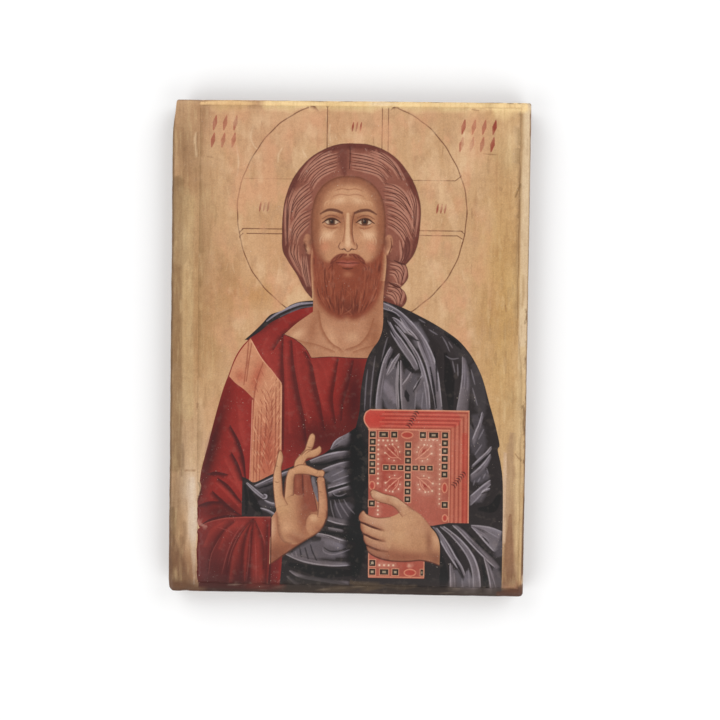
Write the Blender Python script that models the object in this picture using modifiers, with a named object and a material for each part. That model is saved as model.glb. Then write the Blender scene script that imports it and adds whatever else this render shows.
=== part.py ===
"""Icon panel: a wooden board with worn, softened edges, and a picture printed on paper glued to its face.

Metres, +Z up. The panel lies on its back: the back is at Z = 0, the picture faces up, and the
picture's top is towards +Y. The origin is at the middle of the back.
"""

import bmesh
import bpy

# The board, cut to the size of a large sheet of writing paper
BOARD_WIDTH = 0.210
BOARD_HEIGHT = 0.290
BOARD_THICKNESS = 0.018

# How far each edge and each corner of the board is rounded off
FRONT_ROUND = 0.0025
BACK_ROUND = 0.0010
TOP_LEFT_ROUND = 0.0014
TOP_RIGHT_ROUND = 0.0008
BOTTOM_RIGHT_ROUND = 0.0020
BOTTOM_LEFT_ROUND = 0.0034
ROUND_STEPS = 4

# Two corners are rubbed away further than the others: how deep, and over what length
TOP_LEFT_WEAR_DEPTH = 0.0021
TOP_LEFT_WEAR_LENGTH = 0.024
BOTTOM_LEFT_WEAR_DEPTH = 0.0009
BOTTOM_LEFT_WEAR_LENGTH = 0.045

# The paper picture, by the bare border that it leaves on each side of the board
PAPER_THICKNESS = 0.0003
GLUE_GAP = 0.0003
LEFT_BORDER = 0.0165
RIGHT_BORDER = 0.0030
TOP_BORDER = 0.0035
BOTTOM_BORDER = 0.0050

# The upper right edge of the paper is torn back, above a slanting start
TORN_BORDER = 0.0060
TORN_FROM_TOP = 0.125
TORN_SLANT = 0.045


def clear_scene():
    for thing in list(bpy.data.objects):
        bpy.data.objects.remove(thing)


def plain_material(name, colour, roughness, metallic=0.0):
    material = bpy.data.materials.new(name)
    material.use_nodes = True
    shader = material.node_tree.nodes["Principled BSDF"]
    shader.inputs["Base Color"].default_value = (*colour, 1.0)
    shader.inputs["Roughness"].default_value = roughness
    shader.inputs["Metallic"].default_value = metallic
    return material


def slab_object(name, outline, bottom, thickness, material, collection):
    """A flat plate of this outline, whose corners run anticlockwise as seen from above."""
    shape = bmesh.new()
    corners = [shape.verts.new((x, y, bottom)) for x, y in outline]
    underside = shape.faces.new(corners)
    raised = bmesh.ops.extrude_face_region(shape, geom=[underside])["geom"]
    upper = [part for part in raised if isinstance(part, bmesh.types.BMVert)]
    bmesh.ops.translate(shape, verts=upper, vec=(0.0, 0.0, thickness))
    bmesh.ops.recalc_face_normals(shape, faces=shape.faces)
    mesh = bpy.data.meshes.new(name)
    shape.to_mesh(mesh)
    shape.free()
    slab = bpy.data.objects.new(name, mesh)
    slab.data.materials.append(material)
    collection.objects.link(slab)
    return slab


def board_outline():
    """The board from the front, with its two rubbed corners, and the rounding that each point has."""
    left, right = -BOARD_WIDTH / 2, BOARD_WIDTH / 2
    low, high = -BOARD_HEIGHT / 2, BOARD_HEIGHT / 2
    return [
        ((left, low + BOTTOM_LEFT_WEAR_DEPTH), BOTTOM_LEFT_ROUND),
        ((left + BOTTOM_LEFT_WEAR_LENGTH, low), 0.0),
        ((right, low), BOTTOM_RIGHT_ROUND),
        ((right, high), TOP_RIGHT_ROUND),
        ((left + TOP_LEFT_WEAR_DEPTH, high), TOP_LEFT_ROUND),
        ((left, high - TOP_LEFT_WEAR_LENGTH), 0.0),
    ]


def round_edges(board, corner_rounds):
    """Gives the front, the back and each upright corner edge its own rounding."""
    widest = max(FRONT_ROUND, BACK_ROUND, *corner_rounds.values())
    weights = board.data.attributes.new("bevel_weight_edge", "FLOAT", "EDGE")
    for edge in board.data.edges:
        start, end = (board.data.vertices[index].co for index in edge.vertices)
        upright = abs(start.z - end.z) > BOARD_THICKNESS / 2
        in_front = start.z > BOARD_THICKNESS / 2
        if upright:
            place = (round(start.x, 6), round(start.y, 6))
            radius = corner_rounds.get(place, 0.0)
        else:
            radius = FRONT_ROUND if in_front else BACK_ROUND
        weights.data[edge.index].value = radius / widest
    bevel = board.modifiers.new("softened edges", "BEVEL")
    bevel.limit_method = "WEIGHT"
    bevel.width = widest
    bevel.segments = ROUND_STEPS
    bevel.use_clamp_overlap = False


def make_board(collection):
    wood = plain_material("wood painted in old gold", (0.42, 0.28, 0.13), 0.45)
    outline = board_outline()
    points = [point for point, _ in outline]
    board = slab_object("board", points, 0.0, BOARD_THICKNESS, wood, collection)
    rounds = {(round(x, 6), round(y, 6)): radius for (x, y), radius in outline if radius}
    round_edges(board, rounds)
    return board


def picture_outline():
    left = -BOARD_WIDTH / 2 + LEFT_BORDER
    right = BOARD_WIDTH / 2 - RIGHT_BORDER
    torn_right = BOARD_WIDTH / 2 - TORN_BORDER
    low = -BOARD_HEIGHT / 2 + BOTTOM_BORDER
    high = BOARD_HEIGHT / 2 - TOP_BORDER
    tear_start = BOARD_HEIGHT / 2 - TORN_FROM_TOP
    return [
        (left, low),
        (right, low),
        (right, tear_start - TORN_SLANT),
        (torn_right, tear_start),
        (torn_right, high),
        (left, high),
    ]


def make_picture(collection):
    paper = plain_material("varnished printed paper", (0.55, 0.36, 0.19), 0.35)
    bottom = BOARD_THICKNESS + GLUE_GAP
    return slab_object("picture_sheet", picture_outline(), bottom, PAPER_THICKNESS, paper, collection)


def main():
    clear_scene()
    panel = bpy.data.collections.new("icon panel")
    bpy.context.scene.collection.children.link(panel)
    make_board(panel)
    make_picture(panel)


main()
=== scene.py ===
from math import radians

import bmesh
import bpy
import numpy as np
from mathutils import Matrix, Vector, geometry, noise


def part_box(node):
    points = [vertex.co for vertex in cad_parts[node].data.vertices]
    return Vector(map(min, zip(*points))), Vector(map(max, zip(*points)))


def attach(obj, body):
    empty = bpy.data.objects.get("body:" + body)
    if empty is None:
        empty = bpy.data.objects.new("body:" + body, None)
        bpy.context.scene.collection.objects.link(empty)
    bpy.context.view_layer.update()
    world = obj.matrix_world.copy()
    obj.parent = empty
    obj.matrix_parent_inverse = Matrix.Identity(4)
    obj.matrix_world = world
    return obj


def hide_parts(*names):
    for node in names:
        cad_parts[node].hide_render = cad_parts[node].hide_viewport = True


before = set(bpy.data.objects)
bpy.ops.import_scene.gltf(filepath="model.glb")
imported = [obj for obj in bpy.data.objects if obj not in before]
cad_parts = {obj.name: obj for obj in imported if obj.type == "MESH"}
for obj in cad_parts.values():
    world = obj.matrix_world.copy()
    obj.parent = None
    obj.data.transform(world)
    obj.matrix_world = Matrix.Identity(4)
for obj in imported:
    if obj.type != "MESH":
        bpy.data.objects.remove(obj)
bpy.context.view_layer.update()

scene = bpy.context.scene

# Camera: the photo looks straight down on the panel as it lies, from a little right of its middle,
# and is turned by less than a degree.
camera_data = bpy.data.cameras.new("camera")
camera_data.sensor_width = 36
camera_data.lens = 51
camera = bpy.data.objects.new("camera", camera_data)
camera.location = (0.0161, 0.0083, 0.6159)
camera.rotation_euler = [radians(angle) for angle in (-1.396, 0.9, 0.785)]
scene.collection.objects.link(camera)
scene.camera = camera

# Floor: a plain pale sheet that the panel lies on.
FLOOR_REACH = 4.0
floor_mesh = bpy.data.meshes.new("floor")
work = bmesh.new()
bmesh.ops.create_grid(work, x_segments=1, y_segments=1, size=FLOOR_REACH)
work.to_mesh(floor_mesh)
work.free()
floor = bpy.data.objects.new("floor", floor_mesh)
scene.collection.objects.link(floor)
floor_paint = bpy.data.materials.new("pale_floor")
floor_paint.use_nodes = True
floor_shader = floor_paint.node_tree.nodes["Principled BSDF"]
floor_shader.inputs["Base Color"].default_value = (0.95, 0.95, 0.95, 1)
floor_shader.inputs["Roughness"].default_value = 0.9
floor_shader.inputs["Specular IOR Level"].default_value = 0.1
floor_mesh.materials.append(floor_paint)

# Light: a pale room and four wide soft lamps, all well to the side, so that the varnish
# doesn't throw them back at the camera.
ROOM_LIGHT = 0.46
LAMP_POWER = 4.5
LAMP_SIZE = 1.0
LAMP_DISTANCE = 0.95
LAMP_HEIGHT = 0.8
room = bpy.data.worlds.new("room")
room.use_nodes = True
room.node_tree.nodes["Background"].inputs["Color"].default_value = (1.0, 1.0, 1.0, 1)
room.node_tree.nodes["Background"].inputs["Strength"].default_value = ROOM_LIGHT
scene.world = room
for number in range(4):
    angle = radians(38 + 90 * number)
    lamp_data = bpy.data.lights.new(f"lamp_{number + 1}", "AREA")
    lamp_data.shape = "DISK"
    lamp_data.size = LAMP_SIZE
    lamp_data.energy = LAMP_POWER
    lamp = bpy.data.objects.new(f"lamp_{number + 1}", lamp_data)
    lamp.location = (LAMP_DISTANCE * np.cos(angle), LAMP_DISTANCE * np.sin(angle), LAMP_HEIGHT)
    lamp.rotation_euler = (-Vector(lamp.location)).to_track_quat("-Z", "Y").to_euler()
    scene.collection.objects.link(lamp)
scene.view_settings.view_transform = "Standard"

# Board: a rectangular softwood board, its front and sides brushed with antique gold over brown,
# its arrises rubbed round and its back left bare. The picture is glued to its front.
MM = 0.001
BOARD_LOW, BOARD_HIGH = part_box("board")
HALF_WIDTH = (BOARD_HIGH[0] - BOARD_LOW[0]) / 2 / MM
HALF_HEIGHT = (BOARD_HIGH[1] - BOARD_LOW[1]) / 2 / MM
THICKNESS = BOARD_HIGH[2] / MM
FRONT_ROUND = 2.4
BACK_ROUND = 1.0
CORNER_ROUNDS = {(-1, 1): 1.6, (1, 1): 1.2, (1, -1): 2.2, (-1, -1): 3.4}
EDGE_ROWS = (0.0, 0.2, 0.5, 0.9, 1.4, 2.0, 2.8)
MARGIN = 19.0
MARGIN_STEP = 0.75
MIDDLE_STEP = 5.0
ROW_STEP = 1.1
SIDE_ROWS = 9

# the drawing: its layers from the lowest up, and the outlines of its areas, all in millimetres
LAYERS = []
AREAS = {}
GLOW_FALL = 1.6
GLOW_REACH = 2
LINE_CORE = 0.1
HAIR_LINE = 0.12


def smooth_run(points, step=1.0):
    """A smooth curve through the points, with a point about every step along it."""
    p = np.array(points, float)
    if len(p) == 2:
        count = max(2, int(np.linalg.norm(p[1] - p[0]) / step) + 1)
        return p[0] + (p[1] - p[0]) * np.linspace(0, 1, count)[:, None]
    ends = np.vstack([2 * p[0] - p[1], p, 2 * p[-1] - p[-2]])
    out = []
    for k in range(1, len(ends) - 2):
        a, b, c, d = ends[k - 1 : k + 3]
        count = max(2, int(np.linalg.norm(c - b) / step) + 1)
        t = np.linspace(0, 1, count, endpoint=False)[:, None]
        bend = 2 * a - 5 * b + 4 * c - d
        turn = 3 * b - a - 3 * c + d
        out.append(0.5 * (2 * b + (c - a) * t + bend * t**2 + turn * t**3))
    return np.vstack(out + [p[-1:]])


def straight_run(points, step=1.0):
    """Straight stretches between the points, with a point about every step along them."""
    p = np.array(points, float)
    stretches = [smooth_run(pair, step)[:-1] for pair in zip(p[:-1], p[1:])]
    return np.vstack(stretches + [p[-1:]])


def outline(*runs, step=1):
    """A closed outline of smooth runs that meet in corners; each starts where the one before it ended."""
    parts = [smooth_run(runs[0], step)]
    for before, run in zip(runs, runs[1:]):
        parts.append(smooth_run([before[-1], *run], step))
    joined = np.vstack(parts)
    gaps = np.linalg.norm(np.diff(joined, axis=0, append=joined[:1]), axis=1)
    return joined[gaps > 1e-6]


def oval(middle, size, turn=0.0, count=28):
    angles = np.linspace(0, 2 * np.pi, count, endpoint=False)
    c, s = np.cos(np.radians(turn)), np.sin(np.radians(turn))
    x, y = size[0] * np.cos(angles), size[1] * np.sin(angles)
    return np.stack([middle[0] + c * x - s * y, middle[1] + s * x + c * y], 1)


def nearest_on(line, points):
    """Signed distance to the line, left of it positive, and how far along it each point lies, from 0 to 1."""
    best = np.full(len(points), 1e9)
    signed = np.zeros(len(points))
    along = np.zeros(len(points))
    lengths = np.linalg.norm(np.diff(line, axis=0), axis=1)
    starts = np.concatenate([[0], np.cumsum(lengths)])
    total = starts[-1]
    for k, length in enumerate(lengths):
        a, run = line[k], line[k + 1] - line[k]
        if length < 1e-9:
            continue
        off = points - a
        t = np.clip((off @ run) / length**2, 0, 1)
        away = off - t[:, None] * run
        distance = np.hypot(away[:, 0], away[:, 1])
        near = distance < best
        best[near] = distance[near]
        side = np.where(run[0] * off[:, 1] - run[1] * off[:, 0] >= 0, 1.0, -1.0)
        signed[near] = (side * distance)[near]
        along[near] = ((starts[k] + t * length) / total)[near]
    return signed, along


def inside(edge, points):
    """True where a point lies inside the closed outline."""
    result = np.zeros(len(points), bool)
    near = np.flatnonzero(((points >= edge.min(0)) & (points <= edge.max(0))).all(1))
    (x1, y1), (x2, y2) = edge.T, np.roll(edge, -1, axis=0).T
    rise = np.where(y2 == y1, 1.0, y2 - y1)
    for few in np.split(near, range(4000, len(near), 4000)):
        x, y = points[few, :1], points[few, 1:]
        crosses = ((y1 > y) != (y2 > y)) & (x < (x2 - x1) * (y - y1) / rise + x1)
        result[few] = crosses.sum(1) % 2 == 1
    return result


def step_between(low, high, value):
    t = np.clip((value - low) / np.maximum(high - low, 1e-9), 0, 1)
    return t * t * (3 - 2 * t)


def area(name, edge, colour, soft=0.15, within=None):
    AREAS[name] = edge
    LAYERS.append(dict(kind="area", name=name, edge=edge, colour=colour, soft=soft, within=within))


def line(points, width, colour, soft=0.12, strength=1, within=None, sides=None, smooth=True):
    """A brush line. width is one number or a list along it. soft is how far its edges fade out: one
    number, or one for each side. sides are the colours at the two edges of a wide, rounded line."""
    run = smooth_run(points) if smooth else straight_run(points)
    widths = np.atleast_1d(np.array(width, float))
    soft = soft if isinstance(soft, tuple) else (soft, soft)
    LAYERS.append(dict(kind="line", run=run, widths=widths, colour=colour, soft=soft, strength=strength,
                       within=within, sides=sides))


def glow(middle, size, turn, colour, strength, within=None):
    LAYERS.append(dict(kind="glow", middle=np.array(middle, float), size=size, turn=turn, colour=colour,
                       strength=strength, within=within))


def cover_of(layer, points):
    """How strongly a layer covers each point, and the colour it has there."""
    if layer["kind"] == "area":
        edge, soft = layer["edge"], layer["soft"]
        signed, _ = nearest_on(np.vstack([edge, edge[:1]]), points)
        distance = np.where(inside(edge, points), -np.abs(signed), np.abs(signed))
        return 1 - step_between(-soft, soft, distance), np.array(layer["colour"], float)
    if layer["kind"] == "glow":
        c, s = np.cos(np.radians(layer["turn"])), np.sin(np.radians(layer["turn"]))
        off = points - layer["middle"]
        u = (c * off[:, 0] + s * off[:, 1]) / layer["size"][0]
        v = (-s * off[:, 0] + c * off[:, 1]) / layer["size"][1]
        return np.exp(-GLOW_FALL * (u * u + v * v)) * layer["strength"], np.array(layer["colour"], float)
    signed, along = nearest_on(layer["run"], points)
    widths = layer["widths"]
    half = np.interp(along, np.linspace(0, 1, len(widths)), widths) / 2
    taper = np.clip(half / (widths.max() / 2), 0.15, 1) if len(widths) > 1 else 1.0
    soft = np.where(signed >= 0, layer["soft"][0], layer["soft"][1]) * taper
    cover = 1 - step_between(half - LINE_CORE, half + soft, np.abs(signed))
    if len(widths) > 1:
        cover = cover * np.clip(half / HAIR_LINE, 0, 1)
    colour = np.array(layer["colour"], float)
    if layer["sides"] is not None:
        across = np.clip(signed / np.maximum(half, 1e-6), -1, 1)
        left, right = (np.array(side, float) for side in layer["sides"])
        bend = np.abs(across[:, None]) ** 2.0
        colour = np.where(across[:, None] >= 0, left, right) * bend + colour * (1 - bend)
    return cover * layer["strength"], colour


def reach_of(layer):
    if layer["kind"] == "area":
        low, high, more = layer["edge"].min(0), layer["edge"].max(0), layer["soft"]
    elif layer["kind"] == "glow":
        low = high = layer["middle"]
        more = GLOW_REACH * max(layer["size"])
    else:
        low, high = layer["run"].min(0), layer["run"].max(0)
        more = layer["widths"].max() / 2 + max(layer["soft"])
    return low - more, high + more


def paint(points, ground, figure_areas=()):
    """The picture's colour at each point, from 0 to 255 as seen on a screen."""
    order = np.argsort(points[:, 0])
    points = points[order]
    colours = np.tile(np.array(ground, float), (len(points), 1))
    masks = {}
    figure = np.zeros(len(points))
    for layer in LAYERS:
        low, high = reach_of(layer)
        first, last = np.searchsorted(points[:, 0], (low[0], high[0]))
        level = points[first:last, 1]
        near = first + np.flatnonzero((level > low[1]) & (level < high[1]))
        if layer["kind"] == "area":
            masks[layer["name"]] = np.zeros(len(points))
        if not len(near):
            continue
        cover, colour = cover_of(layer, points[near])
        if layer["within"] is not None:
            cover = cover * masks[layer["within"]][near]
        if layer["kind"] == "area":
            masks[layer["name"]][near] = cover
            if layer["name"] in figure_areas:
                figure[near] = np.maximum(figure[near], cover)
        colours[near] += (colour - colours[near]) * cover[:, None]
    back = np.argsort(order)
    return (colours[back], figure[back]) if figure_areas else colours[back]


# the paper's and the board's plain ground colour
GROUND = (208, 166, 124)
# gold brushed over the margins, darker towards the edges: broad patches first
for middle, size, turn, colour, strength in (
    ((90, 20), (18, 110), 0, (196, 154, 94), 0.8), ((90, 112), (9, 16), 0, (186, 150, 104), 0.6),
    ((86, 139), (16, 5), 0, (222, 186, 132), 0.8), ((96, -60), (16, 60), 0, (208, 172, 124), 0.7),
    ((-86, 20), (16, 70), 0, (182, 142, 96), 0.75), ((-70, 30), (12, 34), 0, (192, 144, 100), 0.7),
    ((-94, 112), (12, 34), 0, (166, 128, 92), 0.75), ((-87, 138), (7, 6), 0, (160, 118, 82), 0.6),
    ((-99, 139), (5, 7), 0, (194, 156, 118), 0.7), ((-92, -56), (14, 26), 0, (202, 168, 132), 0.8),
    ((-93, -84), (7, 16), 0, (224, 200, 176), 0.9), ((-91.5, -108), (4, 14), 0, (222, 196, 172), 0.9),
    ((-104, -100), (6, 30), 0, (158, 128, 96), 0.8), ((-102, -134), (14, 16), 0, (118, 84, 58), 0.95),
    ((-106, -144), (12, 9), 0, (106, 72, 50), 0.9), ((95, -92), (2.4, 18), 0, (178, 138, 108), 0.7),
    ((98, -143), (16, 6), 0, (92, 58, 44), 0.95), ((-20, 130), (60, 12), 0, (214, 164, 126), 0.7),
    ((-40, 60), (26, 40), 0, (214, 164, 122), 0.6), ((-52, 118), (20, 20), 0, (210, 164, 128), 0.7),
):
    glow(middle, size, turn, colour, strength)
# strips that run up the panel: places, width, colour, softness, strength
for points, width, colour, soft, strength in (
    ([(-101.4, 96), (-101.4, 46), (-101.6, 10), (-101.2, -30), (-101.8, -70)], 6.4, (148, 116, 80), 1.6,
     0.8),
    ([(-94.6, 86), (-94.8, 40), (-94.4, 0), (-94, -40)], 4.6, (200, 168, 124), 2.4, 0.75),
    ([(-98, 90), (-99.4, 70), (-99, 52)], 6, (180, 148, 108), 2.6, 0.6),
    ([(-104.8, 146), (-104.6, 60), (-104.8, -20), (-104.8, -146)], 1.6, (116, 88, 62), 1.2, 0.8),
    ([(-90.9, 125), (-91.4, 121), (-90.7, 116), (-90.4, 112)], 0.8, (222, 190, 152), 0.5, 0.8),
    ([(-89.8, 125), (-90.2, 119), (-89.4, 112)], 0.5, (150, 112, 78), 0.6, 0.6),
    ([(-97, -58), (-96.7, -68), (-97.2, -76)], 0.9, (148, 118, 88), 0.8, 0.6),
    ([(-95.4, -104), (-95, -110), (-95.6, -116)], 1.1, (138, 104, 74), 1.4, 0.45),
    ([(-97.2, -113), (-96.6, -118), (-97, -124)], 1.4, (130, 94, 64), 1.6, 0.5),
    ([(-102.6, -96), (-101.8, -104), (-102.2, -112)], 1.6, (124, 94, 62), 1.4, 0.7),
    ([(-89.4, -124), (-88.9, -130), (-88.7, -136)], 1.2, (188, 156, 132), 1.2, 0.55),
    ([(-90, -96), (-89.6, -104), (-90.2, -113)], 2.4, (218, 198, 180), 1.2, 0.8),
    ([(103, 142), (102.6, 90), (102.8, 40), (102.4, -10)], 6, (226, 200, 164), 0.8, 0.85),
    ([(102.2, 0), (101.8, -50), (102, -100), (102.4, -132)], 4.4, (216, 184, 138), 1.6, 0.8),
    ([(96, -48), (95.8, -70), (95.6, -95), (95.6, -118), (96, -146)], [1, 4.5, 5, 5.5, 6], (176, 142, 108),
     3, 0.75),
    ([(96.4, -96), (96, -108), (96, -124), (97, -146)], [1, 3.6, 5.2, 8], (140, 98, 70), 3, 0.7),
    ([(-91, -78), (-90.6, -98), (-90, -120), (-89.4, -140)], [2, 4, 2.2, 0.4], (222, 198, 174), 1.8, 0.75),
    ([(-106, -106), (-102, -124), (-98, -146)], [3, 9, 15], (116, 82, 56), 3.4, 0.8),
    ([(92.8, -60), (92.6, -90), (92.8, -112)], 1.4, (216, 184, 156), 0.8, 0.7),
    ([(105.2, 140), (105.2, 20), (104.9, -60), (104.6, -146)], 1.1, (128, 92, 62), 0.8, 0.8),
    ([(104.2, 138), (104.6, 132), (104.4, 126)], 0.6, (132, 88, 62), 0.4, 0.8),
    ([(104.6, -86), (104.2, -104), (104, -134)], 0.8, (104, 70, 50), 0.5, 0.85),
    # a painted glint on the right arris near the bottom corner
    ([(104.4, -132), (104.3, -136), (104.2, -141)], 0.6, (232, 214, 196), 0.3, 0.85),
    ([(102.4, -32), (103.8, -37), (103.2, -43), (104.4, -49)], 0.8, (126, 94, 60), 0.6, 0.7),
    ([(101.4, 44), (101.8, 34), (101.2, 26)], 0.7, (168, 132, 92), 0.7, 0.5),
    ([(103.4, 24), (104.2, 22), (103.8, 19)], 0.6, (120, 88, 58), 0.4, 0.7),
    # along the torn edge: a brown line, partly glue and dirt, partly the painted shadow of the paper's edge
    ([(99, 140), (98.9, 118), (98.5, 100), (98.7, 84), (98, 60), (97.8, 20)], 0.8, (150, 114, 76), 1.4, 0.6),
    ([(99, 97), (97.4, 94), (96.2, 90)], 0.8, (126, 92, 54), 0.6, 0.7),
):
    line(points, width, colour, soft=soft, strength=strength)
# the top edge: gold with a painted highlight along its rounding, a brown break, and dark dashes where the
# gold has chipped
line([(-88, 142.6), (-70, 142.9), (-61, 142.6)], [1, 3.2, 2.2], (252, 212, 154), soft=(1, 1.8), strength=0.8)
line([(-51, 142.6), (-30, 142.9), (10, 142.8), (60, 142.8), (100, 142.2)], [2.6, 4.2, 3, 4, 4.6],
    (255, 222, 164), soft=(1, 2.4), strength=0.95)
line([(10, 142.9), (17, 143.1), (25, 142.8)], [1, 2.2, 0.8], (244, 216, 176), soft=0.8, strength=0.8)
line([(-103, 144.9), (-96, 144.7), (-88, 144.7)], 0.7, (128, 94, 66), soft=(0.4, 0.5), strength=0.8)
dashes = np.random.default_rng(11)
along = -86.0
while along < 98:
    reach = dashes.uniform(0.8, 4.2)
    drop = dashes.uniform(-0.15, 0.25) - (0.5 if 88 < along < 97 else 0)
    line([(along, 144.7 + drop), (along + reach, 144.6 + drop)], [0.3, 0.7, 0.3], (112, 80, 52),
        soft=(0.3, 0.4), strength=dashes.uniform(0.3, 0.9))
    along += reach + dashes.uniform(0.4, 3.4)
# worn gold: short upright dabs, darker and paler than what lies under them
for k in range(150):
    left = k % 2 == 0
    x = dashes.uniform(-104, -78) if left else dashes.uniform(80, 104.5)
    y = dashes.uniform(-138, 140)
    tall = dashes.uniform(2.5, 13)
    lean = dashes.uniform(-0.5, 0.5)
    dark = dashes.random() < (0.6 if x < 99 else 0.25)
    line([(x, y), (x + lean, y + tall / 2), (x, y + tall)], [0.3, dashes.uniform(0.8, 2.6), 0.3],
        (158, 122, 84) if dark else (226, 194, 150), soft=1, strength=dashes.uniform(0.12, 0.34))
# chips along the torn right edge
for k in range(22):
    x, y = dashes.uniform(102.6, 104.4), dashes.uniform(-66, 24)
    line([(x, y), (x + dashes.uniform(0.2, 1), y - dashes.uniform(0.8, 3.2))],
        [0.2, dashes.uniform(0.4, 0.9), 0.2], (118, 86, 56), soft=0.4, strength=dashes.uniform(0.3, 0.75))
# broad veils over the margins: grime on the left, rubbed and paler places on the right
for middle, size, colour, strength in (
    ((-99, 120), (6, 20), (144, 108, 74), 0.55), ((-86, 130), (7, 9), (160, 116, 82), 0.4),
    ((-85, 66), (7, 40), (152, 118, 80), 0.45), ((-74, 40), (10, 18), (164, 124, 84), 0.4),
    ((-54, 31), (18, 9), (176, 118, 62), 0.42), ((-99, -84), (5.5, 62), (136, 108, 80), 0.42),
    ((-97, -128), (8, 12), (132, 92, 66), 0.5), ((-90.5, -134), (4, 9), (150, 112, 86), 0.6),
    ((-60, 112), (11, 10), (232, 184, 146), 0.4), ((66, 108), (13, 26), (236, 200, 160), 0.45),
    ((50, 92), (9, 8), (234, 190, 148), 0.3), ((95, 122), (7, 20), (236, 204, 156), 0.5),
    ((96, 36), (5, 20), (222, 188, 132), 0.4), ((96, -30), (6, 12), (170, 136, 90), 0.35),
    ((97, -132), (7, 9), (124, 88, 64), 0.45),
):
    glow(middle, size, 0, colour, strength)
# fine creases and rubbed places in the paper's plain ground
for points in (
    [(-57.4, 130), (-58.6, 123), (-56.8, 118), (-54.6, 115.8)],
    [(-40.2, 116.6), (-42.2, 113), (-42.6, 108.4)], [(-28.4, 115.8), (-27, 113), (-25.6, 111.4)],
    [(-67, 118), (-65.6, 108), (-66.4, 100)], [(-12.4, 131), (-12.8, 126), (-12.2, 121)],
    [(66, 127), (64.8, 122), (65.4, 117)],
):
    line(points, [0.2, 0.9, 0.2], (232, 198, 162), soft=0.5, strength=0.8)
for points in (
    [(77, 114.8), (81, 114.4), (84.6, 114.2)], [(-96, -73.2), (-92, -72.6), (-87, -73.8)],
    [(98.6, -60), (101, -63), (104, -65.6)], [(-84, 111.4), (-80.6, 110.8)],
    [(-89.6, -31), (-88.4, -34), (-89, -37)], [(70, 140.2), (74, 139.8)], [(91.4, 27), (91.9, 23)],
):
    line(points, [0.2, 0.5, 0.2], (140, 100, 66), soft=(0.3, 0.5), strength=0.6)
for k in range(46):
    x, y = dashes.uniform(-92, 90), dashes.uniform(20, 140)
    tall, lean = dashes.uniform(2, 7), dashes.uniform(-1.6, 1.6)
    line([(x, y), (x + lean * 0.7, y + tall / 2), (x + lean, y + tall)], [0.1, 0.6, 0.1],
        (236, 204, 168) if k % 3 else (150, 108, 76), soft=0.4, strength=dashes.uniform(0.2, 0.5))


def rows_across(half, margin, step, middle_step):
    """Places of the grid's lines across the board: close together in its margins, wide behind the print."""
    outer = np.concatenate([EDGE_ROWS, np.arange(EDGE_ROWS[-1] + step, margin, step)])
    middle = np.linspace(margin, 2 * half - margin, max(2, int(2 * (half - margin) / middle_step)))
    return np.concatenate([outer, middle, (2 * half - outer)[::-1]]) - half


def rough(x, y, scale, seed):
    """Smooth noise from -1 to 1, with lumps about scale millimetres across."""
    return noise.noise(Vector((x / scale, y / scale, seed)))


def worn_top_left(y):
    return 2.1 * step_between(HALF_HEIGHT - 24, HALF_HEIGHT, y) ** 1.5


def worn_bottom_left(y):
    return 0.5 * (1 - step_between(-HALF_HEIGHT, -HALF_HEIGHT + 8, y))


def board_point(x, y):
    """Where a point of the flat grid lies on the worn board, in millimetres."""
    side_x, side_y = np.sign(x) or 1, np.sign(y) or 1.0
    corner = CORNER_ROUNDS[(int(side_x), int(side_y))]
    in_x, in_y = HALF_WIDTH - abs(x), HALF_HEIGHT - abs(y)
    edge = min(in_x, in_y)
    reach = FRONT_ROUND * (1 + 0.28 * rough(x, y, 17, 3.1) + 0.22 * rough(x, y, 5, 8.4))
    chip = max(0, rough(x, y, 4.2, 21.7) - 0.34) * 2.6 * max(0, 1 - edge / 2.6)
    short = np.hypot(max(0, reach - in_x), max(0, reach - in_y))
    drop = reach - np.sqrt(max(reach**2 - min(short, reach) ** 2, 0))
    if in_x < corner and in_y < corner:
        u, v = 1 - in_x / corner, 1 - in_y / corner
        u, v = u * np.sqrt(1 - v * v / 2), v * np.sqrt(1 - u * u / 2)
        x = side_x * (HALF_WIDTH - corner * (1 - u))
        y = side_y * (HALF_HEIGHT - corner * (1 - v))
    wear = 0.05 * (1.2 + rough(x, y, 9, 5.5)) * max(0, 1 - edge / 3)
    x -= side_x * wear
    y -= side_y * wear
    if x < 0:
        x += (worn_top_left(y) + worn_bottom_left(y)) * max(0, 1 - in_x / 26)
    flat = 0.05 * rough(x, y, 30, 1.3) + 0.03 * rough(x, y, 3, 9.9)
    return x, y, THICKNESS - 0.09 + flat - drop - chip * 0.5


xs = rows_across(HALF_WIDTH, MARGIN, MARGIN_STEP, MIDDLE_STEP)
ys = rows_across(HALF_HEIGHT, MARGIN, ROW_STEP, ROW_STEP)
work = bmesh.new()
bmesh.ops.create_grid(work, x_segments=len(xs) - 1, y_segments=len(ys) - 1, size=1)
for vert in work.verts:
    column = round((vert.co.x + 1) / 2 * (len(xs) - 1))
    row = round((vert.co.y + 1) / 2 * (len(ys) - 1))
    vert.co = Vector(board_point(xs[column], ys[row]))
rim = [edge for edge in work.edges if edge.is_boundary]
side_levels = list(np.linspace(THICKNESS - FRONT_ROUND, BACK_ROUND, SIDE_ROWS)[1:]) + [BACK_ROUND * 0.3, 0]
for level in side_levels:
    grown = bmesh.ops.extrude_edge_only(work, edges=rim)["geom"]
    rim = [part for part in grown if isinstance(part, bmesh.types.BMEdge)]
    inset = {BACK_ROUND * 0.3: 0.3, 0.0: 1.0}.get(level, 0)
    for vert in {vert for edge in rim for vert in edge.verts}:
        along = vert.co.x if abs(vert.co.y) > HALF_HEIGHT - 4 else vert.co.y
        dent = 0.10 * (1 + rough(along, level * 2, 6, 14.2))
        scale_x = 1 - (inset + dent * (0 < level)) / HALF_WIDTH * (0.3 if inset == 0 else 1)
        scale_y = 1 - (inset + dent * (0 < level)) / HALF_HEIGHT * (0.3 if inset == 0 else 1)
        vert.co = Vector((vert.co.x * scale_x, vert.co.y * scale_y, level))
bmesh.ops.holes_fill(work, edges=rim, sides=0)
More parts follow.
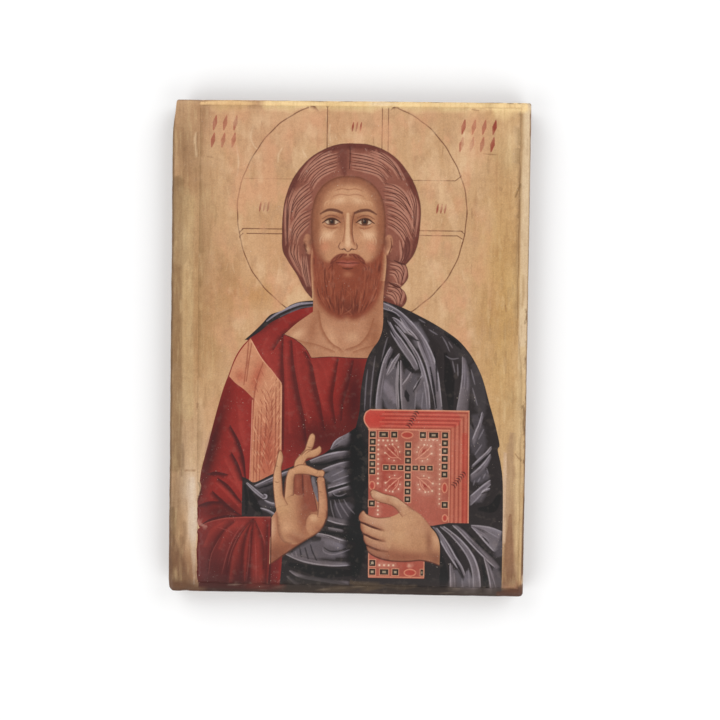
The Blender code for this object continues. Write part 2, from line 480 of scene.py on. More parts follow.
bmesh.ops.scale(work, verts=work.verts, vec=(MM, MM, MM))
bmesh.ops.recalc_face_normals(work, faces=work.faces)
for face in work.faces:
    face.smooth = len(face.verts) < 5
board_mesh = bpy.data.meshes.new("board_looks")
work.to_mesh(board_mesh)
work.free()
board = bpy.data.objects.new("board_looks", board_mesh)
scene.collection.objects.link(board)


def on_screen_to_light(colours):
    """Colours from 0 to 255 as seen on a screen, turned to the light that a surface gives back."""
    share = np.clip(colours / 255, 0, 1)
    return np.where(share <= 0.04045, share / 12.92, ((share + 0.055) / 1.055) ** 2.4)


VARNISH_HAZE = 0.011
LIGHT_GAIN = 1.13


def store_light(layer, colours):
    """Colours as seen on a screen go into a colour layer as the light that gives them back."""
    light = np.clip((on_screen_to_light(colours) - VARNISH_HAZE) / LIGHT_GAIN, 0.0015, 1)
    layer.data.foreach_set("color", np.hstack([light, np.ones((len(light), 1))]).astype(np.float32).ravel())


def add_paint(mesh, colours, brushed, bare=0):
    """Stores the painted colours, and how brushed or bare each point is, on the mesh."""
    store_light(mesh.color_attributes.new("paint", "FLOAT_COLOR", "POINT"), colours)
    for name, value in (("brushed", brushed), ("bare", bare)):
        values = np.broadcast_to(np.asarray(value, np.float32), (len(colours),)).copy()
        mesh.attributes.new(name, "FLOAT", "POINT").data.foreach_set("value", values)


def places_of(mesh):
    co = np.empty(len(mesh.vertices) * 3, np.float32)
    mesh.vertices.foreach_get("co", co)
    return co.reshape(-1, 3).astype(float) / MM


def brushed_share(points):
    """How much of the gold brushwork shows: all of it by the board's edges, little behind the figure."""
    x, y = points[:, 0], points[:, 1]
    left = 1 - step_between(-92, -62, x)
    right = step_between(66, 92, x)
    top = step_between(132, 143, y) * 0.8
    bottom = step_between(-142, -136, y)
    return (0.12 + 0.88 * np.maximum.reduce([left, right, top])) * (0.1 + 0.9 * bottom)


board_places = places_of(board_mesh)
on_front = step_between(THICKNESS - 6, THICKNESS - 1, board_places[:, 2])[:, None]
front_colours = paint(board_places[:, :2], GROUND)
SIDE_BROWN = np.array((112, 78, 50), float)
board_colours = SIDE_BROWN + (front_colours - SIDE_BROWN) * on_front
add_paint(board_mesh, board_colours, brushed_share(board_places) * (0.6 + 0.4 * on_front[:, 0]),
    (board_places[:, 2] < 0.2).astype(float))
# the print's colours run down over the bottom edge, so no gold shows there
below_print = 1 - step_between(-139.6, -138.4, board_places[:, 1])
board_mesh.attributes.new("figure", "FLOAT", "POINT").data.foreach_set("value",
    below_print.astype(np.float32))


def set_inputs(tree, node, sockets):
    """Gives a node's inputs their values, or links them from other nodes' outputs."""
    for name, value in sockets.items():
        if isinstance(value, bpy.types.NodeSocket):
            tree.links.new(value, node.inputs[name])
        else:
            node.inputs[name].default_value = value


def add_node(tree, kind, sockets, **settings):
    node = tree.nodes.new("ShaderNode" + kind)
    for name, value in settings.items():
        setattr(node, name, value)
    set_inputs(tree, node, sockets)
    return node


def make_aged_paint():
    """Brush streaks, grain, stains and pale specks, laid over a painted colour."""
    group = bpy.data.node_groups.new("aged_paint", "ShaderNodeTree")
    for way, names in (
        ("INPUT", ("Paint", "Brushed", "Figure", "Faded")), ("OUTPUT", ("Color", "Roughness", "Height")),
    ):
        for name in names:
            kind = "NodeSocketColor" if name in ("Paint", "Color") else "NodeSocketFloat"
            group.interface.new_socket(name, in_out=way, socket_type=kind)
    given = group.nodes.new("NodeGroupInput").outputs
    result = group.nodes.new("NodeGroupOutput")
    place = add_node(group, "TexCoord", {}).outputs["Object"]

    def math(kind, first, second):
        return add_node(group, "Math", {0: first, 1: second}, operation=kind).outputs[0]

    def times(first, second):
        return math("MULTIPLY", first, second)

    def cloud(size, detail, stretch=(1, 1, 1), turn=0, shift=0, distortion=0):
        """Noise with lumps of about the given size in metres, from 0 to 1."""
        spread = {"Vector": place, "Location": (shift, shift * 0.7, 0), "Rotation": (0, 0, radians(turn))}
        spread["Scale"] = [s / size for s in stretch]
        lumps = {"Vector": add_node(group, "Mapping", spread).outputs["Vector"]}
        lumps.update(Scale=1, Detail=detail, Distortion=distortion)
        return add_node(group, "TexNoise", lumps).outputs["Fac"]

    def between(value, low, high, to_low=0, to_high=1):
        span = {"Value": value, "From Min": low, "From Max": high, "To Min": to_low, "To Max": to_high}
        return add_node(group, "MapRange", span, interpolation_type="SMOOTHSTEP").outputs["Result"]

    def blend(kind, share, first, second):
        colours = {"Factor": share, "A": first, "B": second}
        return add_node(group, "Mix", colours, data_type="RGBA", blend_type=kind).outputs["Result"]

    bare_ground = math("SUBTRACT", 1, given["Figure"])
    brushed = times(given["Brushed"], bare_ground)
    # long streaks that the brush left, running up the panel
    wide_streaks = cloud(0.0046, 4, (1, 0.16, 1), turn=1.2, distortion=0.4)
    fine_streaks = cloud(0.0013, 4, (1, 0.10, 1), turn=-0.6, shift=3)
    streak = math("ADD", times(wide_streaks, 0.55), times(fine_streaks, 0.45))
    pale_streak = times(between(streak, 0.50, 0.66), times(brushed, 0.22))
    dark_streak = times(between(streak, 0.48, 0.34), times(brushed, 0.28))
    colour = blend("MIX", pale_streak, given["Paint"], (0.70, 0.52, 0.27, 1))
    colour = blend("MULTIPLY", dark_streak, colour, (0.52, 0.42, 0.30, 1))
    # slow stains and fine grain over everything
    stain = cloud(0.030, 5, (1, 0.7, 1), shift=7)
    colour = blend("MULTIPLY", between(stain, 0.44, 0.66, 0, 0.34), colour, (0.74, 0.64, 0.50, 1))
    paper_streak = between(cloud(0.0024, 4, (1, 0.10, 1), shift=11), 0.46, 0.64, 0, 0.20)
    colour = blend("MULTIPLY", times(paper_streak, bare_ground), colour, (0.72, 0.60, 0.46, 1))
    # the paper's ground has faded unevenly: pinkish, pale and brownish blotches
    plain = times(math("SUBTRACT", bare_ground, brushed), given["Faded"])
    for size, shift, low, high, share, tint in (
        (0.013, 17, 0.46, 0.62, 0.62, (0.62, 0.305, 0.165, 1)),
        (0.011, 23, 0.52, 0.66, 0.50, (0.68, 0.45, 0.26, 1)),
        (0.007, 29, 0.52, 0.66, 0.48, (0.43, 0.24, 0.125, 1)),
    ):
        blotch = between(cloud(size, 4, (1, 0.55, 1), shift=shift), low, high)
        colour = blend("MIX", times(times(blotch, plain), share), colour, tint)
    mottle = cloud(0.0040, 4, shift=37)
    colour = blend("MULTIPLY", between(mottle, 0.50, 0.68, 0, 0.26), colour, (0.74, 0.66, 0.60, 1))
    colour = blend("MIX", between(mottle, 0.46, 0.30, 0, 0.03), colour, (0.62, 0.48, 0.38, 1))
    grain = cloud(0.0007, 2, shift=5)
    colour = blend("OVERLAY", 0.24, colour, grain)
    # pale specks of dust and rubbed spots in the varnish
    rubbed = between(cloud(0.016, 3, shift=2), 0.50, 0.62)
    speck = times(between(cloud(0.00085, 1.5, shift=9), 0.70, 0.78), rubbed)
    colour = blend("MIX", times(speck, 0.55), colour, (0.74, 0.62, 0.50, 1))
    height = math("ADD", times(streak, times(brushed, 0.6)), times(grain, 0.12))
    roughness = math("ADD", between(stain, 0.3, 0.7, 0.36, 0.50), times(brushed, 0.10))
    set_inputs(group, result, {"Color": colour, "Height": height, "Roughness": roughness})
    return group


aged_paint = make_aged_paint()


def make_varnished(name, bump_depth, faded):
    """A painted, varnished surface, coloured by the mesh; faded is how blotchy its paper has gone."""
    material = bpy.data.materials.new(name)
    material.use_nodes = True
    tree = material.node_tree
    given = {"Faded": faded}
    for socket, output in (("Paint", "Color"), ("Brushed", "Fac"), ("Figure", "Fac")):
        given[socket] = add_node(tree, "Attribute", {}, attribute_name=socket.lower()).outputs[output]
    aged = tree.nodes.new("ShaderNodeGroup")
    aged.node_tree = aged_paint
    set_inputs(tree, aged, given)
    relief = {"Distance": bump_depth, "Strength": 0.6, "Height": aged.outputs["Height"]}
    surface = {"Base Color": aged.outputs["Color"], "Roughness": aged.outputs["Roughness"]}
    surface["Normal"] = add_node(tree, "Bump", relief).outputs["Normal"]
    surface.update({"Specular IOR Level": 0.32, "Coat Weight": 0.12, "Coat Roughness": 0.22})
    set_inputs(tree, tree.nodes["Principled BSDF"], surface)
    return material, aged


gilded_wood, gilded_age = make_varnished("gilded_wood", 0.00035, 0)


def add_bare_wood(material, aged):
    """Bare pine, with its grain along the board, wherever the mesh says that no paint was laid."""
    tree = material.node_tree
    place = add_node(tree, "TexCoord", {}).outputs["Object"]
    along = add_node(tree, "Mapping", {"Vector": place, "Scale": (1, 0.06, 1)}).outputs["Vector"]
    grain = add_node(tree, "TexNoise", {"Vector": along, "Scale": 230, "Detail": 6, "Distortion": 0.5})
    ramp = add_node(tree, "ValToRGB", {"Fac": grain.outputs["Fac"]})
    dark, pale = ramp.color_ramp.elements
    dark.position, pale.position = 0.36, 0.64
    dark.color = (0.33, 0.19, 0.09, 1)
    pale.color = (0.62, 0.43, 0.24, 1)
    bare = add_node(tree, "Attribute", {}, attribute_name="bare").outputs["Fac"]
    woods = {"Factor": bare, "A": aged.outputs["Color"], "B": ramp.outputs["Color"]}
    chosen = add_node(tree, "Mix", woods, data_type="RGBA").outputs["Result"]
    set_inputs(tree, tree.nodes["Principled BSDF"], {"Base Color": chosen})


add_bare_wood(gilded_wood, gilded_age)
board_mesh.materials.append(gilded_wood)
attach(board, "root")
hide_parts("board")

# Picture: a colour print on thin paper, glued to the board and varnished. It shows a robed, haloed
# figure that blesses with one hand and holds a jewelled book in the other.

RUST = (98, 54, 34)
RED, RED_DEEP, RED_LIGHT = (140, 43, 38), (72, 27, 26), (164, 62, 54)
PEACH, ORANGE, BAND_LINE = (203, 140, 106), (174, 88, 66), (140, 68, 50)
NIGHT, NIGHT_DEEP, GREY, LILAC = (46, 40, 40), (29, 25, 26), (96, 88, 93), (146, 136, 146)
HAIR, HAIR_DEEP, HAIR_LIGHT = (142, 86, 70), (82, 42, 35), (196, 142, 120)
FLESH_LIGHT, FLESH_SHADE, FLESH_DEEP = (224, 180, 142), (150, 92, 64), (104, 56, 42)
COVER, TRIM, PAGE_LINE = (170, 90, 74), (222, 152, 122), (138, 52, 42)
GEM, GEM_HEART = (50, 38, 32), (190, 168, 140)

# halo
HALO = (1, 79)
HALO_RADIUS = 67.0
turns = np.linspace(0, 2 * np.pi, 220, endpoint=False)
reach = HALO_RADIUS + 0.22 * np.sin(9 * turns) + 0.14 * np.sin(31 * turns + 1)
circle = np.stack([HALO[0] + reach * np.cos(turns), HALO[1] + reach * np.sin(turns)], 1)
line(np.vstack([circle, circle[:1]]), 0.58, (104, 56, 34), soft=0.25, strength=0.92, smooth=False)
for x in (-14, 18, 21.6):
    line([(x, 112), (x, 146)], 0.42, RUST, soft=0.2, strength=0.85)
for y in (69.6, 66.8):
    line([(-63 + (69.6 - y), y), (-38, y)], 0.45, RUST, soft=0.2, strength=0.9)
    line([(40, y), (65.5 - (69.6 - y), y)], 0.45, RUST, soft=0.2, strength=0.9)
for points, width, strength in (
    ([(-64.5, 67.4), (-62.4, 69.6)], 0.45, 0.9), ([(-64.5, 67.4), (-64.5, 64)], 0.3, 0.5),
    ([(67, 67.6), (65, 69.6)], 0.45, 0.9), ([(-64.8, 64.8), (-62.6, 66.8)], 0.4, 0.8),
    ([(62.8, 66.8), (65.6, 65)], 0.4, 0.8), ([(36, 98.8), (61, 98.8)], 0.36, 0.75),
    ([(61, 98.8), (64.5, 101.5)], 0.36, 0.75),
):
    line(points, width, RUST, soft=0.2, strength=strength)
line([(-62, 98.8), (-34, 98.8)], 0.25, RUST, soft=0.25, strength=0.3)

# strokes in the places of the writing
STROKE_RED = (148, 56, 44)
for place, rows, height, count, gap in (((-81.5, 117), 2, 8, 3, 6), ((63.5, 116), 2, 8, 4, 6)):
    for row in range(rows):
        for k in range(count):
            x = place[0] + k * gap + row * 1.0
            y = place[1] + row * (height + 2)
            line([(x, y), (x + 1.6, y + height)], [0.6, 2.5, 0.6], STROKE_RED, strength=0.9)
for place in ((0.5, 127), (-53, 80), (50.5, 80)):
    for k in range(3):
        x = place[0] + k * 2.3
        line([(x, place[1]), (x + 0.8, place[1] + 5)], [0.4, 1.1, 0.4], STROKE_RED, strength=0.85)

# the dark cloak behind the left shoulder
area("shoulder", outline([(-20, 28.2), (-28, 27.4), (-34, 25.4), (-39, 22), (-46, 19.4), (-51, 14), (-56, 9),
    (-61, 4.5)], [(-54, 5), (-40, 14), (-20, 20)]), NIGHT)
line([(-21, 26.6), (-29, 25.8), (-35, 23.6), (-42, 20), (-48, 15.5)], [0.4, 1.3, 0.9, 0.3], LILAC,
    soft=(0.1, 0.6), within="shoulder")
line([(-21, 24.6), (-28, 23.6), (-34, 21.2), (-40, 18.4)], [0.3, 0.9, 0.3], GREY, soft=(0.1, 0.5),
    within="shoulder")

# tunic
area("tunic", outline([(-21, 24.5), (-30, 22.4), (-38, 18.8), (-46, 14.6), (-52, 9.5), (-58, 5.4)],
    [(-62.5, 0.5), (-66.5, -6), (-69.8, -15), (-73.4, -25), (-76.8, -37), (-79.6, -48), (-82.6, -60),
    (-85.6, -72), (-86.6, -79)], [(-85.8, -83), (-88.2, -91), (-89.6, -97.5), (-88.2, -102.5),
    (-86.6, -106.5)], [(-40, -110), (20, -60), (24, 12)], [(14, 2), (10, -5.2)],
    [(0, -5), (-10, -4.6), (-21.5, -5.4)], [(-25, 0.2), (-31, 5.2), (-37.6, 8.2)], [(-30, 15), (-21, 21.5)]),
    RED)
glow((-44, -6), (10, 16), 30, RED_LIGHT, 0.5, "tunic")
glow((-14, -14), (16, 14), 0, (152, 52, 44), 0.75, "tunic")
glow((-44, -30), (6, 22), 0, (146, 50, 42), 0.6, "tunic")
glow((4, -30), (9, 30), 0, RED_DEEP, 0.9, "tunic")
glow((-14, -52), (26, 16), 0, RED_DEEP, 0.75, "tunic")
glow((-50, 14), (14, 4), 35, RED_DEEP, 0.8, "tunic")
glow((-62, -52), (6, 34), -6, RED_LIGHT, 0.35, "tunic")
glow((-80, -60), (5.5, 45), -14, RED_DEEP, 0.95, "tunic")
glow((-74, -97), (16, 7), 0, RED_DEEP, 0.8, "tunic")
for run, width in (
    ([(-38.4, 8), (-38.8, -6), (-38.2, -22), (-37.6, -60)], 1.4),
    ([(-33.4, 4.5), (-32.4, -10), (-29.6, -26), (-26, -42), (-23.4, -60)], 1.7),
    ([(-25.2, -2), (-22, -9), (-20, -20), (-16.6, -34), (-13.4, -48)], 1.9),
    ([(-6, -6), (-8, -18), (-9.4, -30), (-7, -44)], 1.3), ([(-37.6, 8), (-41, 4), (-44, -1)], 0.9),
    ([(-22, 19), (-30, 13.4), (-37.8, 8)], 1), ([(3, -7), (0, -20), (-3, -32), (-3.6, -42)], 1.2),
):
    line(run, [0.4, width, width, 0.3], RED_DEEP, soft=(0.5, 2.8), strength=0.66, within="tunic")
for run, width in (
    ([(-36.6, 3), (-36.4, -12), (-35, -30), (-34, -50)], 0.9),
    ([(-30.6, 1), (-29.4, -12), (-26.4, -28), (-22.6, -44)], 0.8),
    ([(-23.6, -6), (-19.4, -12), (-17, -24), (-13.6, -36)], 1),
    ([(-18, -6.5), (-14, -12), (-11.6, -22)], 0.8), ([(-47, 7), (-50, 0), (-47, -8), (-42, -16)], 1.2),
):
    line(run, [0.2, width, 0.2], RED_LIGHT, soft=(1.8, 0.6), strength=0.42, within="tunic")
line([(-37.6, 8.2), (-31, 5.2), (-25, 0.2), (-21.5, -5.4)], 0.6, RED_DEEP, soft=0.3, within="tunic")
line([(-21.5, -5.4), (-10, -4.6), (0, -5), (12, -5.2)], 0.6, RED_DEEP, soft=0.3, within="tunic")
# left sleeve folds
for run, width in (
    ([(-69, -46), (-64, -56), (-61, -66), (-59.4, -78)], 1.5), ([(-68, -62), (-64, -70), (-60.5, -80)], 1.2),
    ([(-82, -75), (-77, -74.2), (-70, -75)], 1.6), ([(-76, -77), (-70, -82), (-64, -89), (-60.6, -92)], 1.6),
    ([(-79, -85), (-74, -90), (-67, -96), (-60.8, -99.6)], 1.5),
    ([(-87, -93.6), (-80, -91.6), (-73, -91.4)], 1.3),
    ([(-86.4, -106), (-80, -102.2), (-70, -99.8), (-60, -99.4)], 1.8),
):
    line(run, [0.3, width, width * 0.8, 0.2], RED_DEEP, soft=(0.4, 2.2), strength=0.9, within="tunic")
for run, width in (
    ([(-64, -36), (-62.4, -48), (-60, -58)], 2), ([(-72, -66), (-67, -74), (-62, -84)], 1.5),
    ([(-77, -80), (-70, -86), (-63, -94)], 1.4), ([(-70, -76.6), (-65, -80.6), (-61.6, -86)], 1),
):
    line(run, [0.2, width, 0.2], RED_LIGHT, soft=(1.8, 0.6), strength=0.55, within="tunic")

# peach band over the shoulder
area("band", outline([(-57.4, 5.4), (-50.2, -7), (-44.6, -14), (-38.8, -21.2)], [(-38.6, -72)],
    [(-46, -77), (-56.6, -80)], [(-55.8, -50), (-55.4, -30)], [(-61, -24.6), (-66, -21), (-69.8, -17)],
    [(-67, -9), (-63, -1.5), (-57.4, 5.4)]), PEACH, within="tunic")
glow((-53.5, -17), (4, 12), -18, ORANGE, 0.8, "band")
glow((-47, -62), (9, 26), 0, ORANGE, 0.9, "band")
glow((-63, -17), (4, 5), 0, ORANGE, 0.6, "band")
for x in (-54.2, -52.4, -50.6):
    line([(x + 0.2, -34 + (x + 50) * 1.5), (x - 0.3, -55), (x - 0.8, -79)], [0.2, 0.5, 0.5, 0.3], BAND_LINE,
        soft=0.2, strength=0.75, within="band")
for x in (-42.2, -40.2):
    line([(x, -20 - (x + 40) * 0.8), (x, -48), (x - 0.2, -74)], [0.2, 0.5, 0.5, 0.3], BAND_LINE, soft=0.2,
        strength=0.75, within="band")
for run in (
    [(-49.8, -8.5), (-53.2, -19), (-55, -30), (-55.4, -42)], [(-58.4, 4), (-59.4, -8), (-61, -22)],
    [(-56.6, 3), (-58.2, -8), (-59.6, -20)], [(-44.6, -30), (-44.2, -44), (-46.6, -58)],
    [(-48.6, -26), (-47.4, -40), (-48.8, -60), (-50.2, -70)],
):
    line(run, [0.2, 0.6, 0.2], BAND_LINE, soft=(0.2, 0.8), strength=0.7, within="band")
WEAVE = np.random.default_rng(8)
for k in range(110):
    x, y = WEAVE.uniform(-54, -40), WEAVE.uniform(-75, -16 - 0.2 * k % 6)
    lean = 1.6 if x > -46.4 else -1.6
    line([(x, y), (x + lean * 0.4, y + 1.4), (x + lean, y + 3.4)], [0.1, 0.4, 0.1],
        (232, 176, 138) if k % 3 else (136, 62, 46), soft=0.2, strength=WEAVE.uniform(0.35, 0.7),
        within="band")
for k in range(9):
    y = -24 - 5.2 * k
    line([(-48.4, y), (-46.6, y - 3), (-45.6, y - 7)], [0.15, 0.45, 0.15], BAND_LINE, soft=0.15,
        strength=0.5, within="band")
    line([(-43.4, y - 1), (-44.6, y - 4), (-46, y - 9)], [0.15, 0.4, 0.15], BAND_LINE, soft=0.15,
        strength=0.45, within="band")
for run in (
    [(-56.9, 4), (-50.6, -6.6), (-44.8, -13.4), (-39, -20.8)], [(-38.9, -22), (-38.8, -70)],
    [(-55.9, -31), (-56.3, -52), (-57, -79)],
):
    line(run, 0.5, (232, 176, 140), soft=0.15, strength=0.8, within="tunic")

# neck
area("neck", outline([(-21, 40), (-21, 21.5)], [(-29, 15.6), (-37.6, 8.2)], [(-31, 5.2), (-25, 0.2),
    (-21.5, -5.4)], [(-10, -4.6), (0, -5), (12, -5.2)], [(16, 0), (19.5, 9), (21, 20), (21, 40)]),
    (184, 130, 98))
glow((0, 26), (24, 9), 0, FLESH_SHADE, 0.85, "neck")
glow((15, 8), (5, 16), 0, FLESH_SHADE, 0.75, "neck")
glow((-21, 12), (3.4, 14), -12, FLESH_SHADE, 0.55, "neck")
glow((-30, 8), (5, 3), 30, FLESH_LIGHT, 0.7, "neck")
glow((-10, 6), (4, 9), 20, (212, 162, 126), 0.7, "neck")
glow((2, 7), (5, 4), 0, FLESH_LIGHT, 0.5, "neck")
for points, width, soft, strength in (
    ([(-17.6, 22), (-15.6, 12), (-10.6, 4), (-4.4, -0.2)], [0.3, 0.9, 0.5], (0.3, 2), 0.8),
    ([(14.5, 18), (11.4, 9), (6, 2.6), (-1.2, -0.2)], [0.3, 0.9, 0.5], (2, 0.3), 0.8),
    ([(-36, 7.4), (-27, 4), (-19, 2.4), (-8, -1.6)], [0.2, 0.7, 0.3], (0.3, 1.6), 0.6),
    ([(17, 3), (9, 0.6), (3, -1.6)], [0.2, 0.7, 0.3], (1.4, 0.3), 0.6),
):
    line(points, width, FLESH_SHADE, soft=soft, strength=strength, within="neck")

# hair behind the face
hair_edge = outline([(0, 120), (10, 119.4), (20, 116), (28, 110.2), (34.6, 101.6), (39, 92.6), (41.2, 83),
    (41, 72), (39.8, 62), (37, 54.6), (33, 49.6)], [(34.2, 46), (34.4, 42), (32.4, 38.6), (30, 36.2)],
    [(32.8, 33.4), (33.8, 29.4), (32.4, 26), (30, 24)], [(24, 26.5), (20, 28.6)],
    [(20, 60), (0, 70), (-21, 60), (-21.5, 29)], [(-25.4, 33.4), (-28.4, 38.4), (-31, 43.6), (-36, 50.8),
    (-39.2, 57.4), (-39.6, 67), (-39.4, 77), (-38, 87.4), (-34.6, 97), (-29.6, 105), (-22.6, 112),
    (-14, 117), (-7, 119.2), (0, 120)])
HAIR_RIM = [np.linalg.norm(hair_edge - place, axis=1).argmin() for place in ((20, 28.6), (-21.5, 29))]
area("hair", hair_edge, HAIR, soft=0.3)
for start, end in ((0, HAIR_RIM[0]), (HAIR_RIM[1], len(hair_edge))):
    line(hair_edge[start:end], 5, (98, 48, 40), soft=2.2, strength=0.75, within="hair", smooth=False)
glow((31, 53), (7, 4), 30, HAIR_DEEP, 0.5, "hair")
glow((21, 46), (3, 16), 0, HAIR_DEEP, 0.9, "hair")
glow((-24, 48), (3, 16), 0, HAIR_DEEP, 0.7, "hair")


def strands(first, last, count, width, colour, strength=0.7, soft=0.25, within="hair", trim=0):
    """Fine lines spread evenly between two guide lines."""
    first, last = np.array(first, float), np.array(last, float)
    for k in range(count):
        share = k / max(count - 1, 1)
        run = first + (last - first) * share
        shift = trim * ((k % 3) - 1)
        run = run + (run[-1] - run[0]) * shift
        line(run, [0.15, width, width * 0.8, 0.15], colour, soft=soft, strength=strength, within=within)


# (first guide, last guide, number of light strands)
LOCKS = [([(11, 116.4), (20, 113), (27, 107), (32, 99)], [(10, 114), (18, 111), (24, 106), (28, 99.6)], 4),
    ([(-11, 116), (-19, 112.4), (-26, 106), (-31, 98)], [(-10.4, 113.6), (-17, 110.4), (-23, 104.6),
    (-27, 98)], 4), ([(35.6, 94), (38.8, 85), (39.2, 75), (38.2, 66)], [(33, 93), (36, 85), (36.6, 76),
    (36, 68)], 4), ([(-33.6, 94), (-37.2, 84), (-37.8, 72), (-37.4, 60)], [(-31.4, 93), (-34.8, 84),
    (-35.6, 73), (-35.6, 62)], 4), ([(-7.4, 114.2), (-16, 111.4), (-24, 106), (-28, 101)],
    [(-8.4, 104.4), (-15, 101.6), (-19.5, 97.5), (-22, 93)], 7), ([(0.4, 114.2), (9, 112.8), (18, 110),
    (24, 105)], [(0.8, 104.8), (9, 103.6), (16, 101), (20, 96)], 7), ([(-24, 97), (-30, 92), (-34, 86),
    (-36, 78)], [(-22, 86), (-26, 83), (-30, 79), (-32, 74)], 7), ([(20, 97), (27, 95), (33, 90), (37, 82)],
    [(20, 86), (26, 85), (31, 81), (35, 76)], 8), ([(-23, 81), (-29, 78), (-34, 72), (-36, 64)],
    [(-24, 72), (-27, 69), (-30, 65), (-31, 60)], 6), ([(22, 84), (28, 82), (34, 77), (38, 69)],
    [(22, 72), (26, 70), (30, 66), (33, 60)], 8), ([(-34, 62), (-35, 56), (-32, 49), (-28, 42)],
    [(-30, 60), (-30, 53), (-27, 46), (-24, 38)], 4), ([(-28, 54), (-27.6, 48), (-26.6, 42), (-24.6, 36)],
    [(-25.4, 54), (-25, 48), (-24, 42), (-22.6, 36)], 4), ([(34, 66), (36, 60), (35, 55), (32.6, 51)],
    [(29, 64), (30, 58), (30, 54), (29, 51)], 4), ([(24, 52), (30, 50.4), (33, 46), (31.6, 39)],
    [(23.4, 44), (26, 43.6), (27.6, 41), (28.4, 37.6)], 6), ([(23, 39), (29, 37.6), (32, 33), (30.6, 26.4)],
    [(21.6, 32), (24.6, 31), (26.4, 29), (27.6, 26.4)], 6)]
BELOW_LOCKS = len(LAYERS)
for first, last, count in LOCKS:
    middle = (np.array(first[1:3] + last[1:3])).mean(0)
    glow(middle, (7, 6), 0, (150, 86, 70), 0.45, "hair")
    strands(first, last, count, 1.3, HAIR_LIGHT, strength=0.62, soft=0.5)
    first, last = np.array(first), np.array(last)
    shift = (last - first) / max(count - 1, 1) / 2
    strands(first + shift, last - shift, count - 1, 0.34, (74, 36, 30), strength=0.85, soft=0.3, trim=0.07)
line([(-4.8, 118.8), (-4.5, 111), (-3.6, 101)], [2.2, 3.6, 2.6, 0.4], (108, 58, 49), soft=3, strength=0.68,
    within="hair")
line([(-0.6, 118), (-0.4, 112), (-0.8, 105)], [0.2, 0.4, 0.2], (74, 36, 30), soft=0.4, strength=0.8,
    within="hair")
line([(33.4, 65), (34.2, 59), (33, 52)], [1.5, 5, 2], (100, 54, 46), soft=1.8, strength=0.8, within="hair")
line([(35.4, 64), (36, 59), (35, 54)], [0.2, 0.8, 0.2], (140, 84, 68), soft=0.7, strength=0.7, within="hair")
line([(14.6, 116), (14.9, 112), (14.4, 108)], [1, 2.6, 1], (176, 118, 98), soft=1, strength=0.55,
    within="hair")
for place in ((28.6, 103), (30.4, 100), (32.4, 97), (8.2, 117), (-26, 104), (36, 78), (-35.4, 70)):
    line([place, (place[0] + 0.9, place[1] - 1.2)], [0.2, 0.7, 0.2], (190, 160, 146), soft=0.4,
        strength=0.55, within="hair")
for start, end in ((0, HAIR_RIM[0]), (HAIR_RIM[1], len(hair_edge))):
    line(hair_edge[start:end], 0.5, HAIR_DEEP, soft=(0.5, 0.3), strength=0.85, within="hair", smooth=False)
line([(33, 49.6), (30, 50.4), (26, 52)], [0.5, 0.9, 0.3], HAIR_DEEP, soft=0.5, within="hair")
line([(30, 36.2), (27, 37), (23, 39.4)], [0.5, 0.9, 0.3], HAIR_DEEP, soft=0.5, within="hair")

# cloak
area("cloak", outline([(20, 28.4), (30, 25.2), (40, 20.6), (50, 15.4), (60, 9.2), (66, 4.4), (72, -3),
    (77, -12), (80, -20), (82.8, -30), (85.2, -38)], [(87.4, -46), (89.4, -55), (88.4, -58), (90.2, -66),
    (91.6, -77), (92, -100), (92, -148)], [(-46, -148)], [(-44, -128), (-44, -100)], [(-61.6, -99.6)],
    [(-61.4, -76)], [(-58, -77.4), (-54, -79.2), (-44, -74.4), (-36, -71.2), (-22, -65.4), (-14, -62),
    (-10, -59)], [(-9, -56.4), (-6, -53), (0, -49.6), (5, -46)], [(7, -36), (7.6, -25), (9, -15), (11, -6),
    (14, 0), (18, 6), (20, 14), (20, 28.4)]), NIGHT)


def evenly(points, count=26):
    """The same number of points along a run, evenly spaced."""
    run = smooth_run(points, 0.5)
    along = np.concatenate([[0], np.cumsum(np.linalg.norm(np.diff(run, axis=0), axis=1))])
    places = np.linspace(0, along[-1], count)
    return np.stack([np.interp(places, along, run[:, 0]), np.interp(places, along, run[:, 1])], 1)


def strip(name, first, last, tone, sides, soft=0.16, strength=0.8, within=None):
    """Fills the strip between two runs; its colour turns from the tone in its middle to one at each side."""
    first, last = evenly(first), evenly(last)
    area(name, np.vstack([first, last[::-1]]), tone, soft=soft, within=within)
    middle = (first + last) / 2
    wide = np.linalg.norm(first - last, axis=1)
    ahead, aside = middle[13] - middle[12], first[12] - middle[12]
    if ahead[0] * aside[1] < ahead[1] * aside[0]:
        sides = sides[::-1]
    line(middle, list(wide[::5] + 0.4), tone, soft=0.1, strength=strength, within=name, sides=sides,
        smooth=False)
    return first, last


FOLD_MARKS = np.random.default_rng(5)


def fold(first, last, lights=(1, 1), marks=5, tone=(106, 97, 102)):
    """A lit fold of the cloak: grey in its middle, pale along its sides, with fine brush marks along it."""
    name = f"fold_{len(LAYERS)}"
    side_tones = [(136, 127, 134) if light > 0.4 else (66, 58, 61) for light in lights]
    first, last = strip(name, first, last, tone, side_tones, soft=0.6, within="cloak")
    for k in range(marks):
        share, start = FOLD_MARKS.uniform(0.12, 0.88), FOLD_MARKS.integers(0, 12)
        run = (first + (last - first) * share)[start : start + FOLD_MARKS.integers(8, 14) : 3]
        colour = (60, 53, 57) if k % 2 == 0 else LILAC
        line(run, [0.15, 0.5, 0.15], colour, soft=0.35, strength=FOLD_MARKS.uniform(0.3, 0.6), within=name)
    for run, light in ((first, lights[0]), (last, lights[1])):
        if light > 0.4:
            line(run[::3], [0.2, 0.55, 0.6, 0.15], (178, 168, 175), soft=0.4, strength=0.8 * light,
                within="cloak")


def mist(points, width, colour, soft=1.8, strength=0.75):
    line(points, [width * 0.3, width, width, width * 0.3], colour, soft=soft, strength=strength,
        within="cloak")


